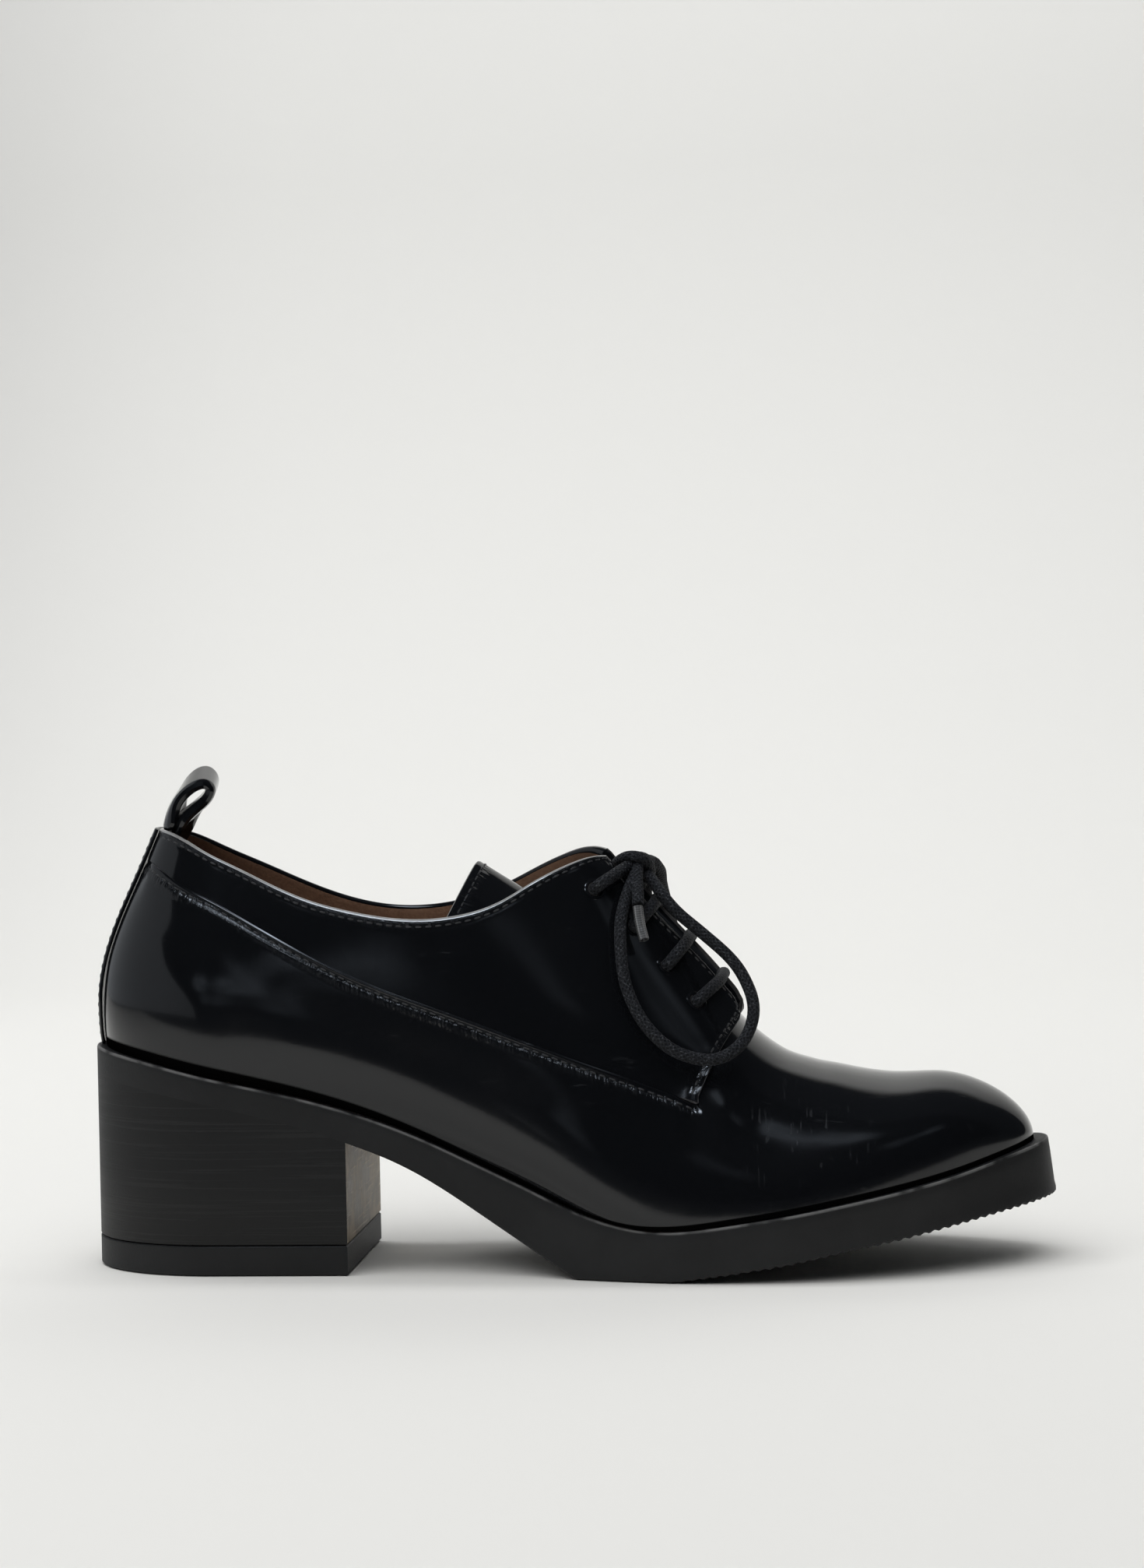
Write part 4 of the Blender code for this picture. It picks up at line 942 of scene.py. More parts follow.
def section_point(turn, x, t, side):
    """A point of the plain form; turn is under a right angle only round the heel."""
    back_way = np.cos(turn)
    at_heel = back_way > 1e-9
    bulge_x = np.where(at_heel, HEEL_CENTRE_X - BACK_BULGE_REACH * back_way, x)
    feather_x = np.where(at_heel, HEEL_CENTRE_X - BACK_FEATHER_REACH * back_way, x)
    feather_z = sole_top(feather_x) + GAP
    bulge_z = feather_z + bulge_height(bulge_x)
    ridge_z = feather_z + ridge_height(bulge_x)
    pinch = upper_pinch(bulge_x)
    mean = (half_width[OUTER, "bulge"](x) + half_width[INNER, "bulge"](x)) / 2
    across = reach(t, half_width[side, "feather"](x), half_width[side, "bulge"](x), mean, pinch)
    back = reach(t, BACK_FEATHER_REACH, BACK_BULGE_REACH, BACK_BULGE_REACH, pinch)
    z = bulge_z + (ridge_z - bulge_z) * np.sin(np.maximum(t, 0.0))
    z = z - (bulge_z - feather_z) * np.sin(np.maximum(-t, 0.0)) / math.sin(TUCK)
    px = np.where(at_heel, HEEL_CENTRE_X - back * back_way, x)
    return np.stack([px, upper_axis(x) + side * across * np.sin(turn), z], axis=-1)


def last_point(u, t, side):
    """A point of the plain form at station u and turn t."""
    u, t = np.broadcast_arrays(np.asarray(u, float), np.asarray(t, float))
    return section_point(np.where(u < 1, u * math.pi / 2, math.pi / 2), station_x(u, t), t, side)


def last_normal(u, t, side):
    """Outward direction of the plain form."""
    u = np.asarray(u, float)
    near = np.minimum(u, 2 - TIP_MARGIN)
    along = last_point(near + NUDGE, t, side) - last_point(near - NUDGE, t, side)
    across = last_point(near, t + NUDGE, side) - last_point(near, t - NUDGE, side)
    normal = unit(np.cross(along, across) * -side)
    return np.where(np.broadcast_to((u >= 2 - 1e-6)[..., None], normal.shape), (1.0, 0.0, 0.0), normal)


def surface(u, t, side, off):
    """A point at a distance off from the plain form."""
    return last_point(u, t, side) + last_normal(u, t, side) * np.asarray(off)[..., None]


print("toe tip", rounded(last_point(2.0, 0.0, OUTER), 1))

# %% [markdown]
# ## Edges of the panels
# A pattern piece ends where the form passes a line seen from the side. The turn of that place has no simple
# formula, so it is found by halving, for all stations at once. Where one panel lies over another it stands
# proud by its own thickness, fading away from the edge.

# %% Panel edges
HALVINGS = 40
SEAM_STEP = 0.8          # the lower panel stands this far proud of the quarter
SEAM_FADE = 16.0
SEAM_END_X = 157.0
STRIP_FREE_FROM = 0.28   # stations where the seam comes out from under the back strip
STRIP_FREE_TO = 0.42
FACING_TIP_Z = 62.6
FACING_LIFT = 1.4        # the facing lies this far over the vamp
FACING_FADE = 14.0
LIFT_FROM_X = 112.0
LIFT_FULL_X = 150.0
EDGE_LIFT_LENGTH = 8.0


def first_turn(u, side, passed):
    """Lowest turn at which the points of station u have passed an edge."""
    u = np.asarray(u, float)
    low = np.full_like(u, -TUCK)
    high = np.full_like(u, math.pi / 2)
    for _ in range(HALVINGS):
        middle = (low + high) / 2
        over = passed(last_point(u, middle, side))
        low, high = np.where(over, low, middle), np.where(over, middle, high)
    return (low + high) / 2


def collar_z(x, side):
    """Height of the collar's edge; both sides are the same at the back."""
    share = ramp(x, COLLAR_ROWS[0, 0], COLLAR_ROWS[2, 0]) if side == INNER else 0.0
    return outer_collar_z(x) + share * (inner_collar_z(x) - outer_collar_z(x))


def panel_edge(u, side):
    """Turn of the seam between lower panel and quarter, carried on over the vamp."""
    at = np.minimum(u, station_u(CORNER_X))
    return first_turn(at, side, lambda point: point[..., 2] >= seam_z(point[..., 0]))


def top_edge(u, side):
    """Turn of the collar and, in front of the facing's top corner, of the throat's edge."""
    def passed(point):
        x = point[..., 0]
        in_throat = (np.abs(point[..., 1] - upper_axis(x)) <= throat_gap(x)) & (x > THROAT_ROWS[0, 0])
        return (point[..., 2] >= collar_z(x, side)) | in_throat
    return first_turn(np.minimum(u, station_u(CORNER_X)), side, passed)


def lower_step(u, point):
    """How far the lower panel stands proud along the seam."""
    x, z = point[..., 0], point[..., 2]
    along = ramp(u, STRIP_FREE_FROM, STRIP_FREE_TO) * (1 - ramp(x, SEAM_END_X, CORNER_X))
    return SEAM_STEP * along * (1 - ramp(seam_z(x) - z, 0.0, SEAM_FADE))


def quarter_step(point):
    """How far the quarter stands proud: its facing lies over the vamp."""
    x, z = point[..., 0], point[..., 2]
    above = z - seam_z(np.minimum(x, CORNER_X))
    behind = CORNER_X + FRONT_LEAN / (FACING_TIP_Z - float(seam_z(CORNER_X))) * above - x
    inside = np.maximum(ramp(above, 0.0, FACING_FADE), 1 - ramp(behind, 0.0, EDGE_LIFT_LENGTH))
    return FACING_LIFT * ramp(x, LIFT_FROM_X, LIFT_FULL_X) * inside


print("turn of the seam at the heel: %.2f" % panel_edge(np.array((1.0,)), OUTER)[0])

# %% [markdown]
# ## Creases, pulls and grooves
# Creases would be simulated on a worn shoe; this one is nearly new, so a few soft troughs across the flex of
# the vamp are listed. The vamp is drawn up in front of the quarter's corner, and each row of
# stitches pulls the leather into a shallow groove.

# %% Creases, pulls and grooves
CREASE_ROWS = (   # x at the ridge, slant to the heel per mm down, depth, half width, reach down
    (186.0, 0.42, 0.30, 4.2, 26.0), (194.5, 0.36, 0.22, 3.8, 24.0), (203.0, 0.30, 0.14, 4.6, 22.0),
)
CREASE_FULL = 0.3        # share of its reach over which a crease keeps its depth
CORNER_PULL = 0.85
CORNER_PULL_AT = (169.5, 42.0)
CORNER_PULL_SIZE = (5.4, 5.2)
GROOVE_DEPTH = 0.40
GROOVE_HALF = 0.85


def crease(points):
    """Depth of the soft troughs where the vamp flexes."""
    x, z = points[..., 0], points[..., 2]
    down = np.maximum(sole_top(x) + ridge_height(np.minimum(x, UPPER_TIP_X)) - z, 0.0)
    depth = np.zeros_like(x)
    for at, slant, deep, wide, far in CREASE_ROWS:
        trough = np.exp(-((x - at + slant * down) / wide) ** 2)
        depth += deep * trough * (1 - ramp(down, CREASE_FULL * far, far))
    return depth


def corner_pull(points):
    """The vamp is drawn up a little in front of the quarter's lower corner."""
    off = (points[..., [0, 2]] - CORNER_PULL_AT) / CORNER_PULL_SIZE
    return CORNER_PULL * np.exp(-np.sum(off ** 2, axis=-1))


def groove(away, inset):
    """Depth of the groove along a row of stitches."""
    return GROOVE_DEPTH * np.exp(-((away - inset) / GROOVE_HALF) ** 2)


print(len(CREASE_ROWS), "creases, the deepest", max(row[2] for row in CREASE_ROWS), "mm")

# %% [markdown]
# ## Facings
# The two facings are stiff flaps: near the throat they don't bend over the ridge but run on straight, and
# their front top corner is rounded with the knife. Both are small moves of points that the form has given.

# %% Facings
THROAT_FLAT = 13.0       # the facing is straight this far from the throat's edge
THROAT_SHARE = 0.8
THROAT_FROM_X = 141.0
THROAT_FULL_X = 149.0
CORNER_RADIUS = 6.0      # of the quarter's front top corner


def flatten_facing(grid, from_top):
    """The facings don't bend over the ridge: near the throat they run on straight."""
    grid = grid.copy()
    for points, away in zip(grid, from_top):
        share = THROAT_SHARE * ramp(points[-1, 0], THROAT_FROM_X, THROAT_FULL_X)
        start, before = (point_at(-at, -away, points) for at in (THROAT_FLAT, THROAT_FLAT + 1.0))
        near = away < THROAT_FLAT
        straight = start + np.outer(THROAT_FLAT - away[near], start - before)
        points[near] += share * (straight - points[near])
    return grid


def round_corner(grid, from_top, from_front):
    """Round the quarter's front top corner, from a square to a quarter of a circle."""
    back = unit(grid[-4, -1] - grid[-1, -1])
    down = unit(grid[-1, -4] - grid[-1, -1])
    ahead, up = (np.clip(1 - away / CORNER_RADIUS, 0.0, 1.0) for away in (from_front, from_top))
    shift_back = CORNER_RADIUS * ahead * (1 - np.sqrt(1 - up ** 2 / 2))
    shift_down = CORNER_RADIUS * up * (1 - np.sqrt(1 - ahead ** 2 / 2))
    return grid + shift_back[..., None] * back + shift_down[..., None] * down


print("facings run straight for", THROAT_FLAT, "mm")

# %% [markdown]
# ## Rows, marks and lines to sew
# A panel's rows gather towards its sewn edge, where the detail is. Each panel remembers how far its points
# are from the edges, for the puckers in the leather, and hands on the lines where the stitches will go.

# %% Rows, marks and sewing lines
CROWDING = 0.72          # rows of a panel gather towards its sewn edge
COLLAR_INSET = 1.3       # of the stitches, from the collar and from the front edge
FRONT_INSET = 1.65
EDGE_NARROWING = 2.0     # puckers along the quarter's edges are this much narrower than along the seam
FOOT_THINNING = 1.1      # the band of painted shade at the foot thins from the waist to the ball
THINNING_X = (112.0, 150.0)
stitch_lines = []


def rows_between(low, high, count, crowding=0.0):
    """Turns of count rows between two edges, for every station, crowded towards the upper edge."""
    part = np.linspace(0.0, 1.0, count)
    return low[:, None] + (high - low)[:, None] * (part + crowding * part * (1 - part))


def soften(grid, at_row, spread, passes):
    """Ease a change of bend along the rows near one row, leaving the borders where they are."""
    rows = np.arange(grid.shape[1])
    share = 0.5 * np.exp(-((rows - at_row) / spread) ** 2)[None, 1:-1, None]
    for _ in range(passes):
        grid[:, 1:-1] += share * ((grid[:, :-2] + grid[:, 2:]) / 2 - grid[:, 1:-1])
    return grid


def edge_distances(grid):
    """Distance of a panel's points from its top and from its front edge."""
    return length_along(grid[:, ::-1], 1)[:, ::-1], length_along(grid[::-1])[::-1]


def lower_marks(panel, sewn):
    """Marks of the lower panel: its distance from the seam, where it is sewn, and from the sole."""
    from_top, _ = edge_distances(panel)
    thinning = 1 + FOOT_THINNING * ramp(panel[..., 0], *THINNING_X)
    return {"edge_away": np.where(sewn, from_top, FAR), "edge_along": length_along(panel[:, -1])[:, None],
            "foot_away": length_along(panel, 1) * thinning}


def quarter_marks(panel):
    """Marks of the quarter: its distance from the nearer of its top and front edges, and the way along it."""
    from_top, from_front = edge_distances(panel)
    along_top = length_along(panel[:, -1])[:, None]
    along_front = length_along(panel[-1])[None]
    nearer_front = from_front - FRONT_INSET < from_top - COLLAR_INSET
    shift = STITCH_INSET - np.where(nearer_front, FRONT_INSET, COLLAR_INSET)
    return {"edge_away": EDGE_NARROWING * (np.minimum(from_top, from_front) + shift),
            "edge_along": np.where(from_front < from_top, along_front, along_top)}


def sewing_line(grid, normal, distance, inset, skip=0):
    """The line across a grid's rows at a distance from an edge, with the normals there, for sewing."""
    line = []
    out = []
    for points, directions, away in zip(grid[skip:], normal[skip:], distance[skip:]):
        order = np.argsort(away)
        line.append(point_at(inset, away[order], points[order]))
        out.append(point_at(inset, away[order], directions[order]))
    return np.array(line), np.array(out)


print("stitches every", STITCH_PITCH, "mm")

# %% [markdown]
# ## Upper
# Lower panel, vamp and quarters are cut from one form, and each panel's edge is a real step with a rounded
# lip. The wall is closed over the collar and lined with brown leather, so that from every side it is a
# hollow shoe. The panels could be separate sheets, but welded they leave no slits of light.

# %% Upper
HEEL_STATIONS = 26
BEHIND_STATIONS = 150
TOE_STATIONS = 100
TUCK_ROWS = 12
LOWER_ROWS = 46
QUARTER_ROWS = 48
RIDGE_ROWS = 6
LINING_ROWS = 9
STRIP_SIDE = 7           # stations hidden under the back strip
BULGE_SOFTENING = 24     # passes that ease the bend where the wall turns under
SOFTENING_SPREAD = 7.0
SEAM_BEVEL = 0.28
SEAM_BEVEL_WIDTH = 0.38
EDGE_GROOVE_SHARE = 0.3  # the groove along the quarter's edges is shallower than along the seam
SEAM_LIP = 0.10          # how far the rounded rims bulge
FRONT_LIP = (0.25, 0.0, 0.0)
COLLAR_LIP = 0.9
SEAM_STEPS = 4           # points across the rims
COLLAR_STEPS = 7
PAINTED_HIGHLIGHT_TO_X = 138.0         # the collar's rim carries the painted highlight up to here
PAINTED_GLINT_ROWS = 6           # rows of the front edge, from its lower corner, in the grey edge finish as a painted glint
FRONT = HEEL_STATIONS + BEHIND_STATIONS - 2      # the station of the quarter's front edge
BEHIND = slice(0, FRONT + 1)
AHEAD = slice(FRONT, None)
CORNER_U = float(station_u(CORNER_X))
STATIONS = np.concatenate([np.linspace(0.0, 1.0, HEEL_STATIONS)[:-1],
                           np.linspace(1.0, CORNER_U, BEHIND_STATIONS),
                           np.linspace(CORNER_U, 2.0, TOE_STATIONS)[1:]])
COLUMN = STATIONS[:, None]
SEWN = (np.arange(len(STATIONS)) < FRONT)[:, None]
POLISHED, LINED, INKED, GREY_EDGE_AND_GLINT, PAINTED_RIM_HIGHLIGHT = range(5)   # numbers of the upper's finishes


def lower_panel(edge, side):
    """The panel along the sole, up to the seam, and the outward directions at the seam."""
    feather = np.full_like(edge, -TUCK)
    bulge = np.zeros_like(edge)
    turns = np.concatenate([rows_between(feather, bulge, TUCK_ROWS)[:, :-1],
                            rows_between(bulge, edge, LOWER_ROWS, CROWDING)], axis=1)
    plain = soften(last_point(COLUMN, turns, side), TUCK_ROWS - 1, SOFTENING_SPREAD, BULGE_SOFTENING)
    normal = last_normal(COLUMN, turns, side)
    below, _ = edge_distances(plain)
    sunk = groove(below, STITCH_INSET) + SEAM_BEVEL * np.exp(-(below / SEAM_BEVEL_WIDTH) ** 2)
    raised = lower_step(COLUMN, plain) - crease(plain) + corner_pull(plain) - np.where(SEWN, sunk, 0.0)
    return plain + normal * raised[..., None], normal[:, -1]


def quarter_and_vamp(edge, top, side):
    """The panel above the seam: proud and free as the quarter behind its front edge, and the vamp ahead."""
    turns = rows_between(edge, top, QUARTER_ROWS, CROWDING)
    plain = last_point(COLUMN, turns, side)
    normal = last_normal(COLUMN, turns, side)
    quarter = (plain + normal * quarter_step(plain)[..., None])[BEHIND]
    from_top, from_front = edge_distances(quarter)
    quarter = round_corner(flatten_facing(quarter, from_top), from_top, from_front)
    sunk = np.maximum(groove(from_top, COLLAR_INSET), groove(from_front, FRONT_INSET))
    quarter -= normal[BEHIND] * (EDGE_GROOVE_SHARE * sunk)[..., None]
    vamp = (plain + normal * (corner_pull(plain) - crease(plain))[..., None])[AHEAD]
    return quarter, vamp


def lines_to_sew(lower, quarter, side):
    """Where the stitches go: along the seam, along the collar and down the front edge."""
    lower_way = grid_normals(lower) * -side
    quarter_way = grid_normals(quarter) * -side
    below, _ = edge_distances(lower)
    from_top, from_front = edge_distances(quarter)
    down = (quarter.swapaxes(0, 1), quarter_way.swapaxes(0, 1), from_front.T)
    return [sewing_line(lower[BEHIND], lower_way[BEHIND], below[BEHIND], STITCH_INSET, STRIP_SIDE),
            sewing_line(quarter, quarter_way, from_top, COLLAR_INSET, STRIP_SIDE),
            sewing_line(*down, FRONT_INSET)]


def upper_side(side):
    """All grids of one side of the upper: panels outside, lining inside, rims between."""
    edge = panel_edge(STATIONS, side)
    top = top_edge(STATIONS, side)
    feather = np.full_like(edge, -TUCK)
    over_turns = rows_between(top, np.full_like(edge, math.pi / 2), RIDGE_ROWS)
    lower, seam_way = lower_panel(edge, side)
    quarter, vamp = quarter_and_vamp(edge, top, side)
    plain_over = last_point(COLUMN, over_turns, side)
    over = (plain_over - last_normal(COLUMN, over_turns, side) * crease(plain_over)[..., None])[AHEAD]
    vamp[:, 0] = lower[AHEAD, -1]
    vamp[:, -1] = over[:, 0]
    lower_in = surface(COLUMN, rows_between(feather, edge, LINING_ROWS), side, -WALL)
    quarter_in = surface(COLUMN, rows_between(edge, top, LINING_ROWS), side, -WALL)
    over_in = surface(COLUMN, over_turns, side, -WALL)[AHEAD]

    seam_wall = rounded_rim(lower[BEHIND, -1], quarter[:, 0], seam_way[BEHIND] * SEAM_LIP, SEAM_STEPS)
    front_wall = rounded_rim(quarter[-1], vamp[0], np.tile(FRONT_LIP, (QUARTER_ROWS, 1)))
    up = unit(quarter[:, -1] - quarter[:, -2])
    collar_rim = rounded_rim(quarter[:, -1], quarter_in[BEHIND, -1], up * COLLAR_LIP, COLLAR_STEPS)
    rim_end = int(np.argmax(quarter[:, -1, 0] > PAINTED_HIGHLIGHT_TO_X))
    # the foot's rim is marked at the sole, so all of it lies under the painted shade
    foot_rim = np.stack([lower[:, 0], lower_in[:, 0]], axis=1)
    throat_rim = np.stack([over[0], over_in[0]])
    throat_foot = np.linspace(vamp[0, -1], quarter_in[FRONT, -1], COLLAR_STEPS)
    throat_side = np.stack([collar_rim[-1], throat_foot])
    stitch_lines.extend(lines_to_sew(lower, quarter, side))
    return [(lower, POLISHED, lower_marks(lower, SEWN)), (quarter, POLISHED, quarter_marks(quarter)),
            (vamp, POLISHED, None), (over, POLISHED, None),
            (lower_in, LINED, None), (quarter_in, LINED, None), (over_in, LINED, None),
            # the grey edge finish on the front edge's lowest rows is a painted glint
            (seam_wall, GREY_EDGE_AND_GLINT, None), (front_wall[:PAINTED_GLINT_ROWS], GREY_EDGE_AND_GLINT, None),
            (front_wall[PAINTED_GLINT_ROWS - 1:], INKED, None), (collar_rim[:rim_end + 1, :3], PAINTED_RIM_HIGHLIGHT, None),
            (collar_rim[rim_end:, :3], INKED, None), (collar_rim[:, 2:], POLISHED, None),
            (foot_rim, POLISHED, {"foot_away": 0.0}), (throat_rim, INKED, None), (throat_side, INKED, None)]


upper_grids = upper_side(OUTER) + upper_side(INNER)
upper = from_grids("upper_leather_and_lining", upper_grids, (LEATHER, LINING, EDGE, GREY_EDGE_AND_GLINT_FINISH, RIM_HIGHLIGHT_FINISH))
dress(upper, ["upper"])
print("upper:", len(upper.data.polygons), "faces,", len(stitch_lines), "lines to sew")

# %% [markdown]
# ## Tongue
# The tongue is one soft sheet under the facings, its top edge free in front of the ankle. A flat sheet could
# be draped over the last, but its arch is seen only at the top, so rows of a few measures are enough.

# %% Tongue
TONGUE_THICKNESS = 1.6
TONGUE_RIDGE = 0.35      # a small number makes a sharper arch
TONGUE_INSET = 1.5
TONGUE_GRID = (76, 41)   # rows along it and points across
TONGUE_ROWS = np.array((   # x and height of the ridge, half width, drop and lean of the edges
    (104.6, 105.6, 22.5, 17.0, -7.5), (117.5, 97.4, 22.0, 14.0, -5.0), (130.0, 89.4, 21.0, 11.5, -3.0),
    (143.0, 81.0, 20.0, 9.5, -2.0), (155.0, 72.6, 18.5, 8.0, -1.0), (165.0, 65.0, 17.0, 7.0, 0.0),
    (174.0, 57.6, 15.5, 6.0, 0.0), (181.0, 53.6, 14.5, 5.0, 0.0), (187.0, 51.0, 13.5, 4.4, 0.0),
))


def tongue_bow(part):
    """How far the arch has dropped across the tongue, 0 at the ridge and 1 at the edges."""
    whole = math.hypot(1, TONGUE_RIDGE) - TONGUE_RIDGE
    return (np.sqrt(part ** 2 + TONGUE_RIDGE ** 2) - TONGUE_RIDGE) / whole


def make_tongue():
    """An arched sheet with a sewn top edge, lined with brown leather."""
    x = np.linspace(TONGUE_ROWS[0, 0], TONGUE_ROWS[-1, 0], TONGUE_GRID[0])[:, None]
    part = np.linspace(-1.0, 1.0, TONGUE_GRID[1])[None]
    height, half, drop, lean = (cubic(TONGUE_ROWS[:, 0], TONGUE_ROWS[:, i])(x) for i in range(1, 5))
    bow = tongue_bow(part)
    grid = np.stack([x + lean * bow, part * half, height - drop * bow], axis=-1)
    normal = grid_normals(grid)
    from_top = length_along(grid)
    marks = {"edge_away": from_top, "edge_along": length_along(grid[0])[None]}
    stitch_lines.append(sewing_line(grid.swapaxes(0, 1), normal.swapaxes(0, 1), from_top.T, TONGUE_INSET))
    grids = strap_grids(grid - normal * TONGUE_THICKNESS / 2, TONGUE_THICKNESS, 0, 1, marks)
    return dress(from_grids("tongue_leather", grids, (LEATHER, LINING)), ["tongue"])


print("tongue:", len(make_tongue().data.polygons), "faces")

# %% [markdown]
# ## Back strip
# A narrow strip covers the seam up the back of the heel. It is a leather strap laid on the last: points on
# the form at its own height, with thickness and rounded edges, sewn down along both sides.

# %% Back strip
STRIP_THICKNESS = 1.0
STRIP_FOOT_TURN = -0.9 * TUCK
STRIP_HALF_TOP = 8.0
STRIP_HALF_FOOT = 5.0
STRIP_INSET = 1.2
STRIP_ROWS = 70
STRIP_HALF_POINTS = 13   # across one half, the middle one included
STITCH_SEAT = 0.16       # the strip's stitches lie this far in the leather


def side_distance(grid):
    """Distance of a strap's points from its nearer long edge."""
    across = length_along(grid, 1)
    return np.minimum(across, across[:, -1:] - across)


def strap_marks(grid):
    """Marks of a strap that is sewn along both long edges."""
    middle = grid[:, grid.shape[1] // 2]
    return {"edge_away": side_distance(grid), "edge_along": length_along(middle)[:, None]}


def strip_grid():
    """The middle sheet of the back strip, from its outer to its inner edge."""
    part = np.linspace(0.0, 1.0, STRIP_ROWS)[:, None]
    half = STRIP_HALF_FOOT + (STRIP_HALF_TOP - STRIP_HALF_FOOT) * part
    out = np.linspace(0.0, 1.0, STRIP_HALF_POINTS)
    columns = []
    for side, across in ((OUTER, out[:0:-1]), (INNER, out)):
        widest = abs(float(last_point(1.0, 0.0, side)[1]))
        u = np.arcsin(across[None] * half / widest) / (math.pi / 2)
        t = STRIP_FOOT_TURN + (top_edge(u[-1], side)[None] - STRIP_FOOT_TURN) * part
        columns.append(surface(u, t, side, np.full_like(u, GAP + STRIP_THICKNESS / 2)))
    return np.concatenate(columns, axis=1)


def make_back_strip():
    """The strip up the back, sewn down along both edges."""
    grid = strip_grid()
    normal = grid_normals(grid)
    normal *= np.sign(-normal[..., 0].mean())
    away = side_distance(grid)
    proud = grid + normal * (STRIP_THICKNESS / 2 - STITCH_SEAT)
    for half in (slice(0, STRIP_HALF_POINTS - 1), slice(STRIP_HALF_POINTS, None)):
        stitch_lines.append(sewing_line(proud[:, half], normal[:, half], away[:, half], STRIP_INSET))
    grids = strap_grids(grid, STRIP_THICKNESS, marks=strap_marks(grid))
    return dress(from_grids("back_strip_leather", grids, (LEATHER,)), ["back_strip"])


print("back strip:", len(make_back_strip().data.polygons), "faces")

# %% [markdown]
# ## Pull loop
# A folded strap at the top of the back strip pulls the shoe on. Its route is seen from the side; above the
# collar the two layers are padded inward until only a narrow eye is left, and the loop leans a little.

# %% Pull loop
LOOP_WIDTH = 12.0
LOOP_POINTS = 17
LOOP_SPACING = 0.6
LOOP_THICKNESS = 1.5
LOOP_PADDING = 1.3
PADDING_RISE = 2.0       # the padding begins this far below the base and is full as far above it
LOOP_BASE_Z = 116.0
LOOP_FLAT_Z = 127.0
LOOP_BOW = 2.2
LOOP_LEAN_X = -0.0115
LOOP_LEAN_Z = 0.0215
LOOP_ROUTE = (           # x and height, from the back of the collar over the top and down inside
    (19.7, 116.7), (20.4, 119.4), (22.2, 123.4), (25.0, 127.0), (28.4, 129.6), (31.2, 129.9), (33.0, 127.8),
    (32.2, 125.0), (29.6, 122.4), (26.4, 119.9), (23.9, 117.4), (21.8, 114.2), (19.7, 110.5), (18.0, 106.8),
    (16.8, 103.4),
)


def make_pull_loop():
    """The strap folded into a loop, leaning, its inner end sewn to the lining."""
    route = smooth_route([(x, 0.0, z) for x, z in LOOP_ROUTE], LOOP_SPACING)
    ahead = np.gradient(route, axis=0)
    inward = unit(np.stack([ahead[:, 2], np.zeros(len(route)), -ahead[:, 0]], axis=-1))
    padding = LOOP_PADDING * ramp(route[:, 2:], LOOP_BASE_Z - PADDING_RISE, LOOP_BASE_Z + PADDING_RISE)
    route = route + inward * padding / 2
    across = np.linspace(-LOOP_WIDTH / 2, LOOP_WIDTH / 2, LOOP_POINTS)[None]
    x, z = route[:, :1], route[:, 2:]
    height = np.maximum(0.0, z - LOOP_BASE_Z)
    bow = LOOP_BOW * (1 - ramp(z, LOOP_BASE_Z, LOOP_FLAT_Z)) * (2 * across / LOOP_WIDTH) ** 2
    leant_x = x + LOOP_LEAN_X * across * height + bow
    leant_z = z + LOOP_LEAN_Z * across * height
    grid = np.stack([leant_x, np.broadcast_to(across, leant_x.shape), leant_z], axis=-1)
    grids = strap_grids(grid, LOOP_THICKNESS + padding, marks=strap_marks(grid))
    return dress(from_grids("pull_loop_leather", grids, (PLAIN_LEATHER,)), ["pull_loop"])


print("pull loop:", len(make_pull_loop().data.polygons), "faces")

# %% [markdown]
# ## Stitches
# Every sewn edge shows a row of short threads that rise from one hole and dip into the next. Bump alone would
# lose their glints, so each stitch is a small bent thread, and one mesh holds them all.

# %% Stitches
THREAD_LENGTH = 1.95
THREAD_RADIUS = 0.25
THREAD_RISE = 0.20
THREAD_SINK = 0.12
THREAD_RINGS = 6
THREAD_SIDES = 6
THREAD_BLUNT = 1.02      # a little over one, so that the ends are blunt
AHEAD_STEP = 0.6         # over which the way along a line is measured


def stitch_grid(at, ahead, out):
    """One bent thread at a point, along a direction and risen the outward way."""
    bend = np.linspace(-1.0, 1.0, THREAD_RINGS)
    turn = np.linspace(0.0, 2 * math.pi, THREAD_SIDES + 1)
    spine = at + np.outer(bend * THREAD_LENGTH / 2, ahead)
    spine = spine + np.outer(THREAD_RISE * (1 - bend ** 2) - THREAD_SINK, out)
    radius = THREAD_RADIUS * np.sqrt(THREAD_BLUNT - bend ** 4)
    ring = np.outer(np.cos(turn), np.cross(out, ahead)) + np.outer(np.sin(turn), out)
    return spine[:, None] + ring[None] * radius[:, None, None]


def sew(lines):
    """One mesh of all the stitches along the kept lines."""
    grids = []
    for line, normal in lines:
        length = length_along(line)
        for middle in np.arange(STITCH_PITCH, length[-1] - STITCH_PITCH / 2, STITCH_PITCH):
            before, at, after = (point_at(middle + step, length, line)
                                 for step in (-AHEAD_STEP, 0.0, AHEAD_STEP))
            ahead = unit(after - before)
            out = point_at(middle, length, normal)
            out = unit(out - ahead * np.dot(out, ahead))
            grids.append((stitch_grid(at, ahead, out), 0, None))
    return dress(from_grids("stitches", grids, (THREAD,))), len(grids)


stitches, stitch_count = sew(stitch_lines)
print(stitch_count, "stitches,", len(stitches.data.polygons), "faces")

# %% [markdown]
# ## Blocks on one plan
# Sole, heel and top lift are all blocks: a wall swept round an outline with small bevels, and a top and a
# bottom between its two sides. An extruded outline with a bevel modifier would come close, but the sole's
# heights change along its length, so each row of the wall has its own function.

# %% Blocks
HEEL_TURNS = 40
HEEL_POINTS = 30         # along the straight part of each side
SOLE_POINTS = 330
CAP_POINTS = 5
HIGHLIGHT_DOWN = 1.0          # the line of painted highlight lies this far down the wall, over the bevel
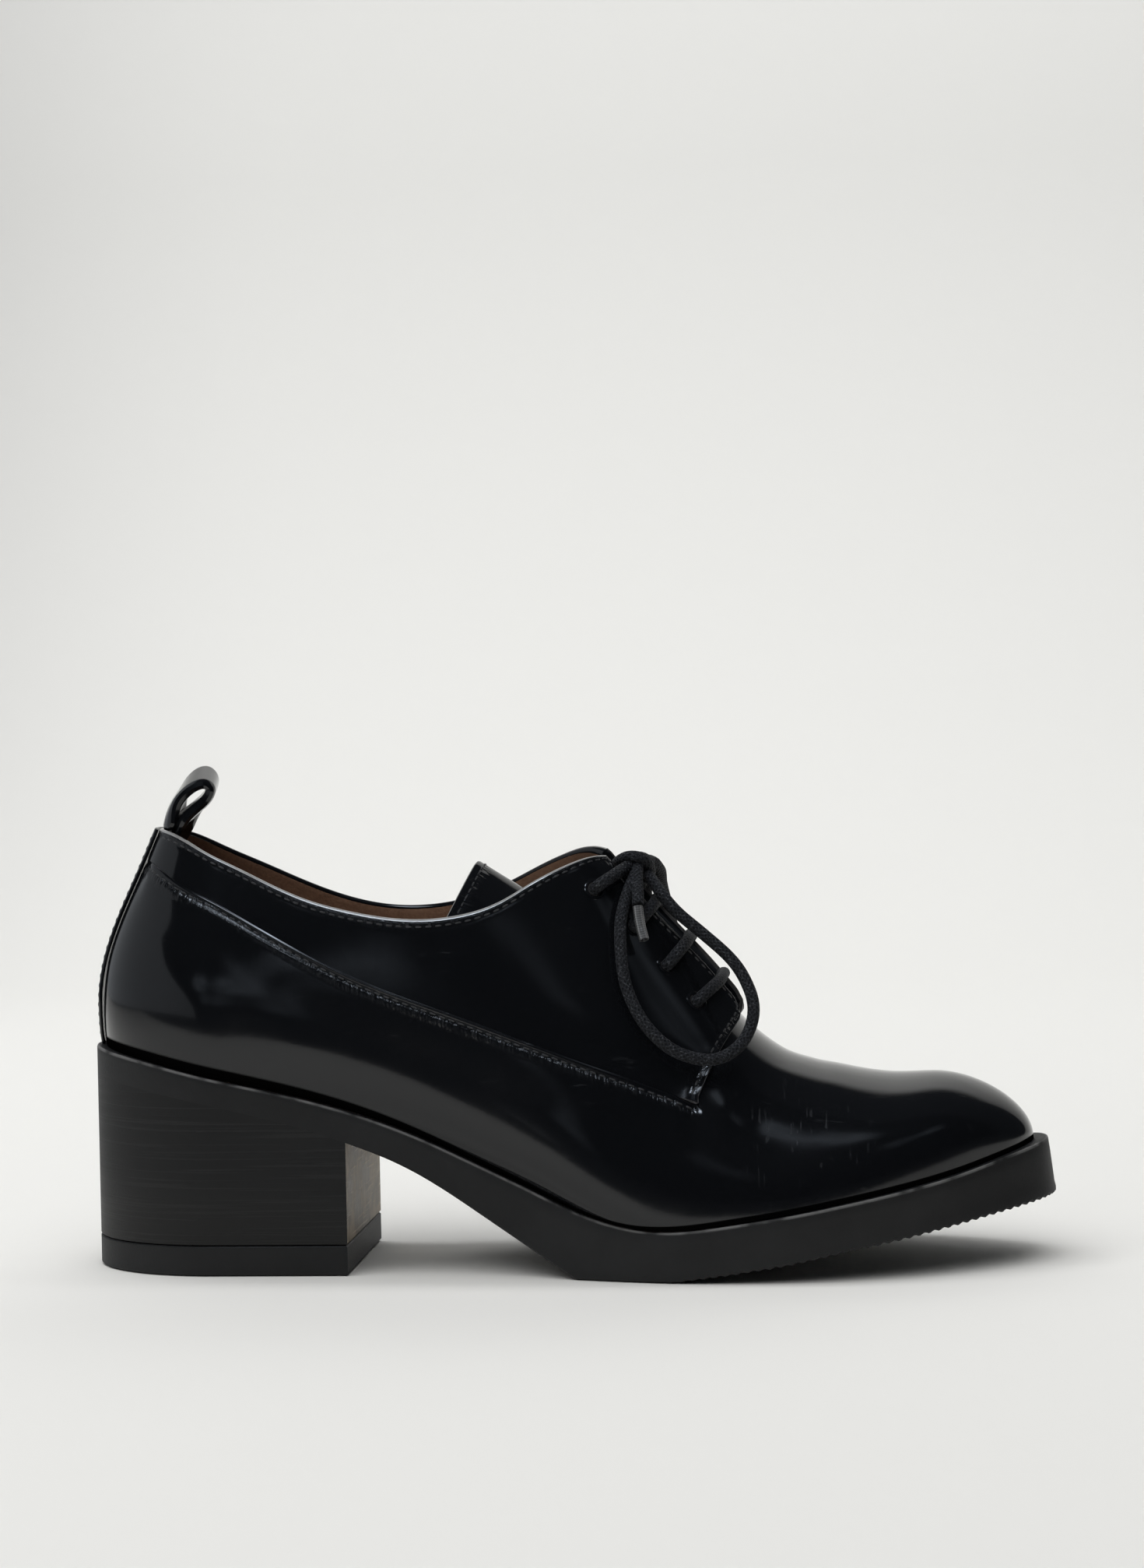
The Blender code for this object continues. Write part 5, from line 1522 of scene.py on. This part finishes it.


def plan_edges(xs):
    """The sole's outer and inner edge in plan, round the heel and on to the given lengths."""
    turn = np.linspace(0.0, math.pi / 2, HEEL_TURNS)[:-1]
    half = float(sole_half(HEEL_CENTRE_X))
    edges = []
    for side, _ in SIDES:
        heel = np.stack([HEEL_CENTRE_X * (1 - np.cos(turn)), side * half * np.sin(turn)], axis=-1)
        ahead = np.stack([xs, sole_axis(xs) + side * sole_half(xs)], axis=-1)
        edges.append(np.concatenate([heel, ahead]))
    return edges


def block_wall(outline, rows_of):
    """The wall round an outline, by rows of (outward, height)."""
    closed = np.concatenate([outline[-2:-1], outline, outline[1:2]])
    ahead = closed[2:] - closed[:-2]
    out = unit(np.stack([ahead[:, 1], -ahead[:, 0]], axis=-1))
    rows = rows_of(outline[:, 0], length_along(outline))
    return np.stack([np.column_stack([outline + out * off[:, None], z]) for off, z in rows], axis=1)


def block(name, edges, rows_of, finishes, front_slot=0, across=2, painted_highlight_edge=False):
    """A block on a plan: its wall, closed by a top and a bottom; the front may have its own finish."""
    outer, inner = edges
    front = outer[-1] + np.linspace(0.0, 1.0, across)[:, None] * (inner[-1] - outer[-1])
    wall = block_wall(np.concatenate([outer, front[1:-1], inner[::-1]]), rows_of)
    count = len(outer)
    rest = len(wall) - count
    share = np.linspace(0.0, 1.0, max(across, CAP_POINTS))[None, :, None]
    far = wall[::-1][:count]
    top, bottom = (wall[:count, row][:, None] * (1 - share) + far[:, row][:, None] * share for row in (0, -1))
    # distance from the sole's line of painted highlight
    worn = np.where(painted_highlight_edge, np.abs(length_along(wall, 1) - HIGHLIGHT_DOWN), FAR)
    grids = [(wall[:count], 0, {"edge_away": worn[:count]}), (wall[count - 1:rest + 1], front_slot, None),
             (wall[rest:], 0, {"edge_away": worn[rest:]}), (top, 0, None), (bottom, 0, None)]
    return from_grids(name, grids, finishes)


heel_xs = np.linspace(HEEL_CENTRE_X, HEEL_BREAST_X, HEEL_POINTS)
sole_xs = SOLE_TIP_X - (SOLE_TIP_X - HEEL_CENTRE_X) * np.linspace(1.0, 0.0, SOLE_POINTS) ** 2
print("points along the plan: heel", len(heel_xs), "sole", len(sole_xs))

# %% [markdown]
# ## Sole, heel and top lift
# The rubber sole is one moulded unit, the heel a stack of boards sanded flush with it, and the top lift a
# rubber slab that shows a fine joint. The forepart's lower edge is notched by the cross tread, which only
# geometry can show at the sole's outline. The insole is carried over from the solids, in lining leather.

# %% Sole and heel
EDGE_BEVEL = 0.55        # of the sole's edges
BEVEL_CREST = 0.16
TOP_REACH = 1.1          # the wall turns this far in over the top
TOE_FLARE = 1.8          # the wall leans out at the toe by this much
TOE_FLARE_FROM = 205.0
TREAD_PITCH = 2.8
TREAD_DEPTH = 0.5
TREAD_FROM_X = 148.0
TREAD_FADE = 18.0
WALL_SHARES = (0.25, 0.5, 0.8)           # how far down the wall its middle rows lie
FOOT_BAND = 1.4          # height of the lowest row of the wall over the bottom
BAND_X = (72.0, 84.0)
BEVEL_X = (HEEL_BREAST_X + 2, HEEL_BREAST_X + 12)   # under the heel the bottom edge is square
BALL_X = 131.0           # where the sole comes down to the floor
TOP_LIFT_HEIGHT = 8.0
LIFT_GAP = 0.3
HEEL_FOOT_BEVEL = (0.25, 0.35)           # in and up
LIFT_HEAD_BEVEL = 0.35
LIFT_FOOT_BEVEL = 0.5
FRONT_POINTS = 12        # across the breast
WAIST = SOLE_ROWS[SOLE_ROWS[:, 0] <= BALL_X]
waist_bottom = cubic(WAIST[:, 0], WAIST[:, 4])


def sole_bottom(x):
    """Height of the sole's underside: one bow through the waist, then straight pieces from the ball on."""
    return np.where(x < BALL_X, waist_bottom(x), np.interp(x, SOLE_ROWS[:, 0], SOLE_ROWS[:, 4]))


def sole_rows(x, along):
    """The sole's wall: bevelled above, notched by the tread below, flaring at the toe."""
    top = sole_top(x)
    bottom = sole_bottom(x)
    flare = TOE_FLARE * ramp(x, TOE_FLARE_FROM, SOLE_TIP_X)
    bevel = EDGE_BEVEL * ramp(x, *BEVEL_X)
    tread = TREAD_DEPTH * ramp(x, TREAD_FROM_X, TREAD_FROM_X + TREAD_FADE)
    notched = bottom + tread * (0.5 + 0.5 * np.cos(2 * math.pi * along / TREAD_PITCH))
    flush = np.zeros_like(x)
    above = ((flush - TOP_REACH, top), (flush - EDGE_BEVEL, top), (flush - BEVEL_CREST, top - BEVEL_CREST),
             (flush, top - EDGE_BEVEL))
    middle = tuple((flare * share, top * (1 - share) + bottom * share) for share in WALL_SHARES)
    below = ((flare, bottom + FOOT_BAND * ramp(x, *BAND_X)), (flare, notched + bevel),
             (flare - bevel, notched), (flare - 3 * bevel, notched))
    return above + middle + below


def heel_rows(x, _):
    """The heel's wall, from the sole straight down to the top lift."""
    head = sole_bottom(x)
    foot = np.full_like(x, TOP_LIFT_HEIGHT)
    flush = np.zeros_like(x)
    inward, upward = HEEL_FOOT_BEVEL
    return (flush, head), (flush, (head + foot) / 2), (flush, foot + upward), (flush - inward, foot)


def lift_rows(x, _):
    """The top lift's wall, bevelled above and below."""
    head = np.full_like(x, TOP_LIFT_HEIGHT - LIFT_GAP)
    foot = np.zeros_like(x)
    flush = np.zeros_like(x)
    return ((flush - LIFT_HEAD_BEVEL, head), (flush, head - LIFT_HEAD_BEVEL), (flush, foot + LIFT_FOOT_BEVEL),
            (flush - LIFT_FOOT_BEVEL, foot))


outsole = block("rubber_outsole", plan_edges(sole_xs), sole_rows, (RUBBER,), painted_highlight_edge=True)
heel = block("stacked_heel", plan_edges(heel_xs), heel_rows, (STACK, BREAST_PAINTED_LIGHT), 1, FRONT_POINTS)
lift = block("rubber_top_lift", plan_edges(heel_xs), lift_rows, (RUBBER,), 0, FRONT_POINTS)
dress(outsole, ["outsole"])
dress(heel, ["heel_block"])
dress(lift, ["heel_top_lift"])
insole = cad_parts["insole"]
insole.data.materials.clear()
insole.data.materials.append(LINING)
print("sole, heel, lift:", *(len(piece.data.polygons) for piece in (outsole, heel, lift)))

# %% [markdown]
# ## Places on the facing
# An eyelet is marked on the facing by its length and height, as a pattern shows it. The form is known by
# turns, so the turn at a height is looked up along one upright section.

# %% Places on the facing
HEIGHT_TURNS = np.linspace(0.0, math.pi / 2, 1200)
THROAT_TURNS = np.linspace(0.0, math.pi / 2, 800)


def upright_section(x, turns, side):
    """Points of the upright section at length x."""
    return section_point(math.pi / 2, np.full_like(turns, x), turns, side)


def facing_frame(x, z, side):
    """The quarter's outside at length x and height z, and its outward direction."""
    t = float(np.interp(z, upright_section(x, HEIGHT_TURNS, side)[:, 2], HEIGHT_TURNS))
    point, along, across = (section_point(math.pi / 2, np.float64(px), pt, side)
                            for px, pt in ((x, t), (x + NUDGE, t), (x, t + NUDGE)))
    normal = unit(np.cross(along - point, across - point) * -side)
    return point + normal * float(quarter_step(point)), normal


def facing_point(x, z, side, off):
    """A point at a distance off from the facing."""
    point, normal = facing_frame(x, z, side)
    return point + normal * off


def throat_height(x, side):
    """Height of the throat's edge at length x."""
    points = upright_section(x, THROAT_TURNS, side)
    in_throat = np.abs(points[:, 1] - upper_axis(x)) <= throat_gap(x)
    return float(points[np.argmax(in_throat | (points[:, 2] >= collar_z(x, side))), 2])


print("throat's edge at 150 mm: %.1f mm high" % throat_height(150.0, OUTER))

# %% [markdown]
# ## Lace through the eyelets
# The eyelets are plain punched holes with a pressed rim. The lace comes up out of each hole, lies over the
# facing and crosses the throat as a straight bar; from the top pair it rises to the knot. Holes could be cut
# with a boolean, but the lace fills them, so a rim and a floor painted dark as the hole's shade are enough.

# %% Eyelets and lace bars
LACE_REST = 1.55         # the lace's middle over the leather it lies on
EDGE_CLEARANCE = 0.9     # more than that where it crosses the throat's edge
EYELET_SIDES = 28
EYELET_RIM = ((3.0, -0.06), (2.75, 0.10), (2.4, 0.16), (2.15, 0.10), (2.0, 0.03), (0.02, 0.03))
RIM_CIRCLES = 5          # of these (radius, rise) circles, the ones that are the rim; then comes the floor
OUT_OF_HOLE = ((-1.8, -0.3), (0.5, -0.1), (LACE_REST, 1.7))   # outward, and the way that the lace lies down
EYELET_ROWS = (          # x and height of the eyelet, x on the throat's edge, crown of the bar
    (162.0, 68.6, 165.6, 0.6), (154.5, 78.1, 157.2, 0.7), (146.2, 88.2, 148.8, 0.8),
)
TOP_EYELET = (136.4, 98.2)
TAIL_ROUTES = {
    OUTER: ((138.6, -20.4, 100.2), (140.7, -18.6, 101.5), (142.7, -15.0, 102.8), (144.5, -11.0, 103.9),
            (145.7, -8.0, 104.7)),
    INNER: ((138.6, 20.2, 100.8), (140.9, 17.6, 102.4), (142.7, 12.0, 104.0), (144.0, 6.4, 105.4),
            (145.3, 2.4, 105.2)),
}


def eyelet_grids(x, z, side):
    """A pressed rim round a hole whose floor is a disc of painted shade."""
    point, normal = facing_frame(x, z, side)
    level = unit(np.cross(normal, (0.0, 0.0, 1.0)))
    turn = np.linspace(0.0, 2 * math.pi, EYELET_SIDES + 1)
    ring = np.outer(np.cos(turn), level) + np.outer(np.sin(turn), np.cross(normal, level))
    circles = np.stack([point + ring * radius + normal * rise for radius, rise in EYELET_RIM])
    # painted shade: the hole's floor is a disc of the black inked-edge finish
    return [(circles[:RIM_CIRCLES], 0, None), (circles[RIM_CIRCLES - 1:], 1, None)]


def out_of_hole(x, z, side, towards):
    """Points of a lace that comes up through an eyelet and lies down towards another point."""
    hole, normal = facing_frame(x, z, side)
    way = towards - hole
    way = unit(way - normal * np.dot(way, normal))
    return [hole + normal * outward + way * ahead for outward, ahead in OUT_OF_HOLE]


def half_bar(x, z, edge_x, side):
    """Points of a bar from its eyelet to the throat's edge."""
    edge_z = throat_height(edge_x, side)
    halfway = facing_point((x + edge_x) / 2, (z + edge_z) / 2, side, LACE_REST)
    return [*out_of_hole(x, z, side, halfway), facing_point(edge_x, edge_z, side, LACE_REST + EDGE_CLEARANCE)]


def lace_piece(name, points, node):
    """A short length of lace along its points."""
    return dress(tube(name, smooth_route(points, TIGHT_SPACING), LACE_RADIUS, LACE), [node])


eyelets = []
for number, (x, z, edge_x, crown) in enumerate(EYELET_ROWS, 1):
    outer_half, inner_half = (half_bar(x, z, edge_x, side) for side, _ in SIDES)
    crown_point = (outer_half[-1] + inner_half[-1]) / 2 + np.array((0.0, 0.0, crown))
    points = [*outer_half, crown_point, *inner_half[::-1]]
    lace_piece("lace_crossing_%d" % number, points, "lace_bar_%d" % number)
    for side, _ in SIDES:
        eyelets += eyelet_grids(x, z, side)
for side, word in SIDES:
    rise = np.array(TAIL_ROUTES[side])
    points = [*out_of_hole(*TOP_EYELET, side, rise[0])[:2], *rise]
    lace_piece("lace_rise_" + word, points, "lace_tail_" + word)
    eyelets += eyelet_grids(*TOP_EYELET, side)
dress(from_grids("eyelet_rims", eyelets, (PLAIN_LEATHER, EDGE)))
print("eyelets:", len(eyelets) // 2)

# %% [markdown]
# ## Floor and backdrop
# The shoe stands on pale paper that runs up behind it in one curve, so no line shows between floor and wall.
# Black leather shows the paper again along its lower edge and over the vamp, so the paper is narrower at the
# right and painted with shade: dimmer to the left and dark at its top, where the reflections end.

# %% Paper sweep
FLOOR_Z = -0.0002        # metres, as all places of the stage: just under the shoe
FLOOR_YS = (-0.5, -0.2, 0.25)
SWEEP_FROM_Y = 0.85
SWEEP_RADIUS = 0.55
SWEEP_TOP = 2.15
SWEEP_STEPS = 24         # round the curve
SWEEP_COLUMNS = 9
SWEEP_SIDES = np.array((   # y, left and right edge of the paper
    (-0.5, -1.5, 0.70), (0.25, -1.6, 0.85), (0.9, -1.6, 1.6), (3.0, -1.7, 1.7),
))
TOP_SHADE_HEIGHTS = (1500.0, 2150.0)            # painted shade: heights in millimetres between which the backdrop is painted dark
LEFT_SHADE_LENGTHS = (-300.0, -900.0)             # painted shade: lengths in millimetres between which the paper is painted dimmer to the left
PAPER = (0.80, 0.80, 0.782)
LEFT_PAPER_SHADED = (0.58, 0.58, 0.57)
TOP_SHADE = (0.02, 0.02, 0.02)


def paper_finish():
    """Pale paper, painted with shade: dimmer to the left and dark at its top."""
    finish = Finish("pale_paper_painted_shade", roughness=0.9, specular_ior_level=0.1)
    along, height = (finish.add("ShaderNodeSeparateXYZ", {}, {0: finish.place()}, out=axis) for axis in "XZ")
    paper = finish.mix(along.step(*LEFT_SHADE_LENGTHS), PAPER, LEFT_PAPER_SHADED)
    finish.tone(height.step(*TOP_SHADE_HEIGHTS), paper, TOP_SHADE)
    return finish.material


def make_sweep():
    """Pale paper that runs from under the shoe up into the backdrop in one curve."""
    profile = [(y, FLOOR_Z) for y in FLOOR_YS]
    for turn in np.linspace(0.0, math.pi / 2, SWEEP_STEPS):
        y = SWEEP_FROM_Y + SWEEP_RADIUS * math.sin(turn)
        profile.append((y, FLOOR_Z + SWEEP_RADIUS * (1 - math.cos(turn))))
    profile.append((SWEEP_FROM_Y + SWEEP_RADIUS, SWEEP_TOP))
    y, z = np.array(profile).T
    left, right = (np.interp(y, SWEEP_SIDES[:, 0], SWEEP_SIDES[:, i]) for i in (1, 2))
    across = left + (right - left) * np.linspace(0.0, 1.0, SWEEP_COLUMNS)[:, None]
    grid = np.stack(np.broadcast_arrays(across, y[None], z[None]), axis=-1)
    made = from_grids("paper_sweep", [(shoe_millimetres(grid), 0, None)], (paper_finish(),))
    return made


print("paper sweep:", len(make_sweep().data.polygons), "faces")

# %% [markdown]
# ## Cards for the polish
# A mirror-black shoe is drawn by what it reflects: the pale floor, the bright paper, a dim wall at the left
# on its counter, and almost nothing in front. A photo of a room could be wrapped round it, but two cards
# with a few soft spots put each reflection where it is wanted.

# %% Cards
CARD_CENTRE = np.array((0.0, 0.0, 0.07))
CARD_RADIUS = 1.5
CARD_GRID = (25, 15)     # across and up
SPOT_CORE = 0.25         # share of a spot's size that is fully bright
ROOM_CORNER = ((-2.0, -24.0), (5.0, -27.0), (30.0, -62.0), (50.0, -82.0), (88.0, -88.0))   # climb, turn
LEFT_END = ((-2.0, -140.0), (50.0, -140.0))
RIGHT_END = ((0.0, 85.0), (88.0, 85.0))
LEFT_CLIMBS = (-2.0, 50.0)
FRONT_CLIMBS = (3.0, 86.0)
LEFT_TINT = (0.95, 1.0, 1.06)
FRONT_TINT = (0.84, 0.95, 1.10)
LEFT_UNEVENNESS = 0.0    # the left wall is even, the room in front clouded
FRONT_UNEVENNESS = 1.0
LEFT_SPOTS = ((-85.0, 15.0, 3.0, 0.40),)   # turn, climb, size in metres, strength
FRONT_SPOTS = (
    (-20.5, 16.5, 0.18, 0.44),                                                     # on the counter
    (-17.0, 8.0, 0.13, 0.20), (2.0, 29.0, 0.15, 0.10), (46.0, 42.0, 0.20, 0.16),   # faint, on the panels
    (34.0, 64.0, 0.22, 0.40), (28.0, 64.0, 0.28, 0.20), (60.0, 41.0, 0.20, 0.22),  # on the vamp
    (-13.0, 45.0, 0.17, 13.0), (-11.0, 65.0, 0.24, 12.0),                          # in puckers and thread
)


def direction(turn, climb):
    """A unit direction: turn from the camera's side towards the toe, climb from level, in degrees."""
    turn = np.radians(turn)
    climb = np.radians(climb)
    return np.stack([np.sin(turn) * np.cos(climb), -np.cos(turn) * np.cos(climb), np.sin(climb)], axis=-1)


def glow_finish(name, spots, tint, unevenness):
    """Dim light in soft spots, clouded by some unevenness."""
    finish = Finish(name, base_color=(0.0, 0.0, 0.0, 1.0), roughness=1.0, specular_ior_level=0.0,
                    emission_strength=1.0)
    level = 0.0
    for turn, climb, size, strength in spots:
        middle = CARD_CENTRE + CARD_RADIUS * direction(turn, climb)
        off = finish.distance(tuple(float(value) / MM for value in middle))
        level = level + off.step(size / MM, SPOT_CORE * size / MM) * strength
    uneven = (finish.noise(110.0, 3.0).step(0.25, 0.75) - 0.5) * unevenness + 1
    glow = finish.add("ShaderNodeVectorMath", {"operation": "SCALE"}, {0: tint, "Scale": level * uneven})
    finish.feed("Emission Color", glow)
    return finish.material


def glow_card(name, left_edge, right_edge, climbs, finish):
    """A card round the shoe that only the polish shows; its edges are (climb, turn) lines."""
    climb = np.linspace(*climbs, CARD_GRID[1])[None]
    left, right = (np.interp(climb, *zip(*edge)) for edge in (left_edge, right_edge))
    turn = left + (right - left) * np.linspace(0.0, 1.0, CARD_GRID[0])[:, None]
    grid = CARD_CENTRE + CARD_RADIUS * direction(*np.broadcast_arrays(turn, climb))
    made = from_grids(name, [(shoe_millimetres(grid), 0, None)], (finish,))
    made.visible_diffuse = False
    made.visible_shadow = False
    return made


left_glow = glow_finish("left_wall", LEFT_SPOTS, LEFT_TINT, LEFT_UNEVENNESS)
glow_card("left_wall", LEFT_END, ROOM_CORNER, LEFT_CLIMBS, left_glow)
front_glow = glow_finish("front_room", FRONT_SPOTS, FRONT_TINT, FRONT_UNEVENNESS)
glow_card("front_room", ROOM_CORNER, RIGHT_END, FRONT_CLIMBS, front_glow)
print("spots:", len(LEFT_SPOTS) + len(FRONT_SPOTS))

# %% [markdown]
# ## Light
# A large soft box over the shoe, a little to the front and left, gives the floor its even tone and the soft
# shadow behind the toe. A weak one from the rear opens the shadow under the waist, and a third lights the
# backdrop. The polish must not show the boxes, so they are hidden from reflections.

# %% Lights
ROOM_LIGHT = (0.022, 0.024, 0.028)
SOFT_BOXES = (           # name, place, aim, size, watts, tint
    ("overhead_box", (-0.35, -0.60, 1.50), (0.02, 0.05, 0.0), (2.3, 2.0), 29.6, (1.0, 0.995, 0.985)),
    ("rear_box", (-0.2, 0.95, 1.15), (0.0, 0.0, 0.0), (2.0, 0.8), 3.4, (1.0, 0.99, 0.97)),
    ("backdrop_box", (0.0, 0.35, 1.9), (0.0, 1.4, 1.0), (2.4, 0.7), 18.4, (1.0, 1.0, 1.0)),
)


def soft_box(name, at, aim, size, watts, tint):
    """A soft box at a place in metres, turned to a point; the polish doesn't show it."""
    data = bpy.data.lights.new(name, "AREA")
    data.shape = "RECTANGLE"
    data.size, data.size_y = size
    data.energy = watts
    data.color = tint
    made = add_object(name, data)
    made.location = at
    made.rotation_euler = (Vector(aim) - Vector(at)).to_track_quat("-Z", "Y").to_euler()
    made.visible_glossy = False
    return made


def make_world(colour):
    """A dark room round the stage."""
    world = bpy.data.worlds.new("studio")
    world.use_nodes = True
    world.node_tree.nodes["Background"].inputs["Color"].default_value = (*colour, 1.0)
    bpy.context.scene.world = world


make_world(ROOM_LIGHT)
for box in SOFT_BOXES:
    soft_box(*box)
bpy.context.scene.view_settings.view_transform = "Standard"
print("soft boxes:", *(box[0] for box in SOFT_BOXES))
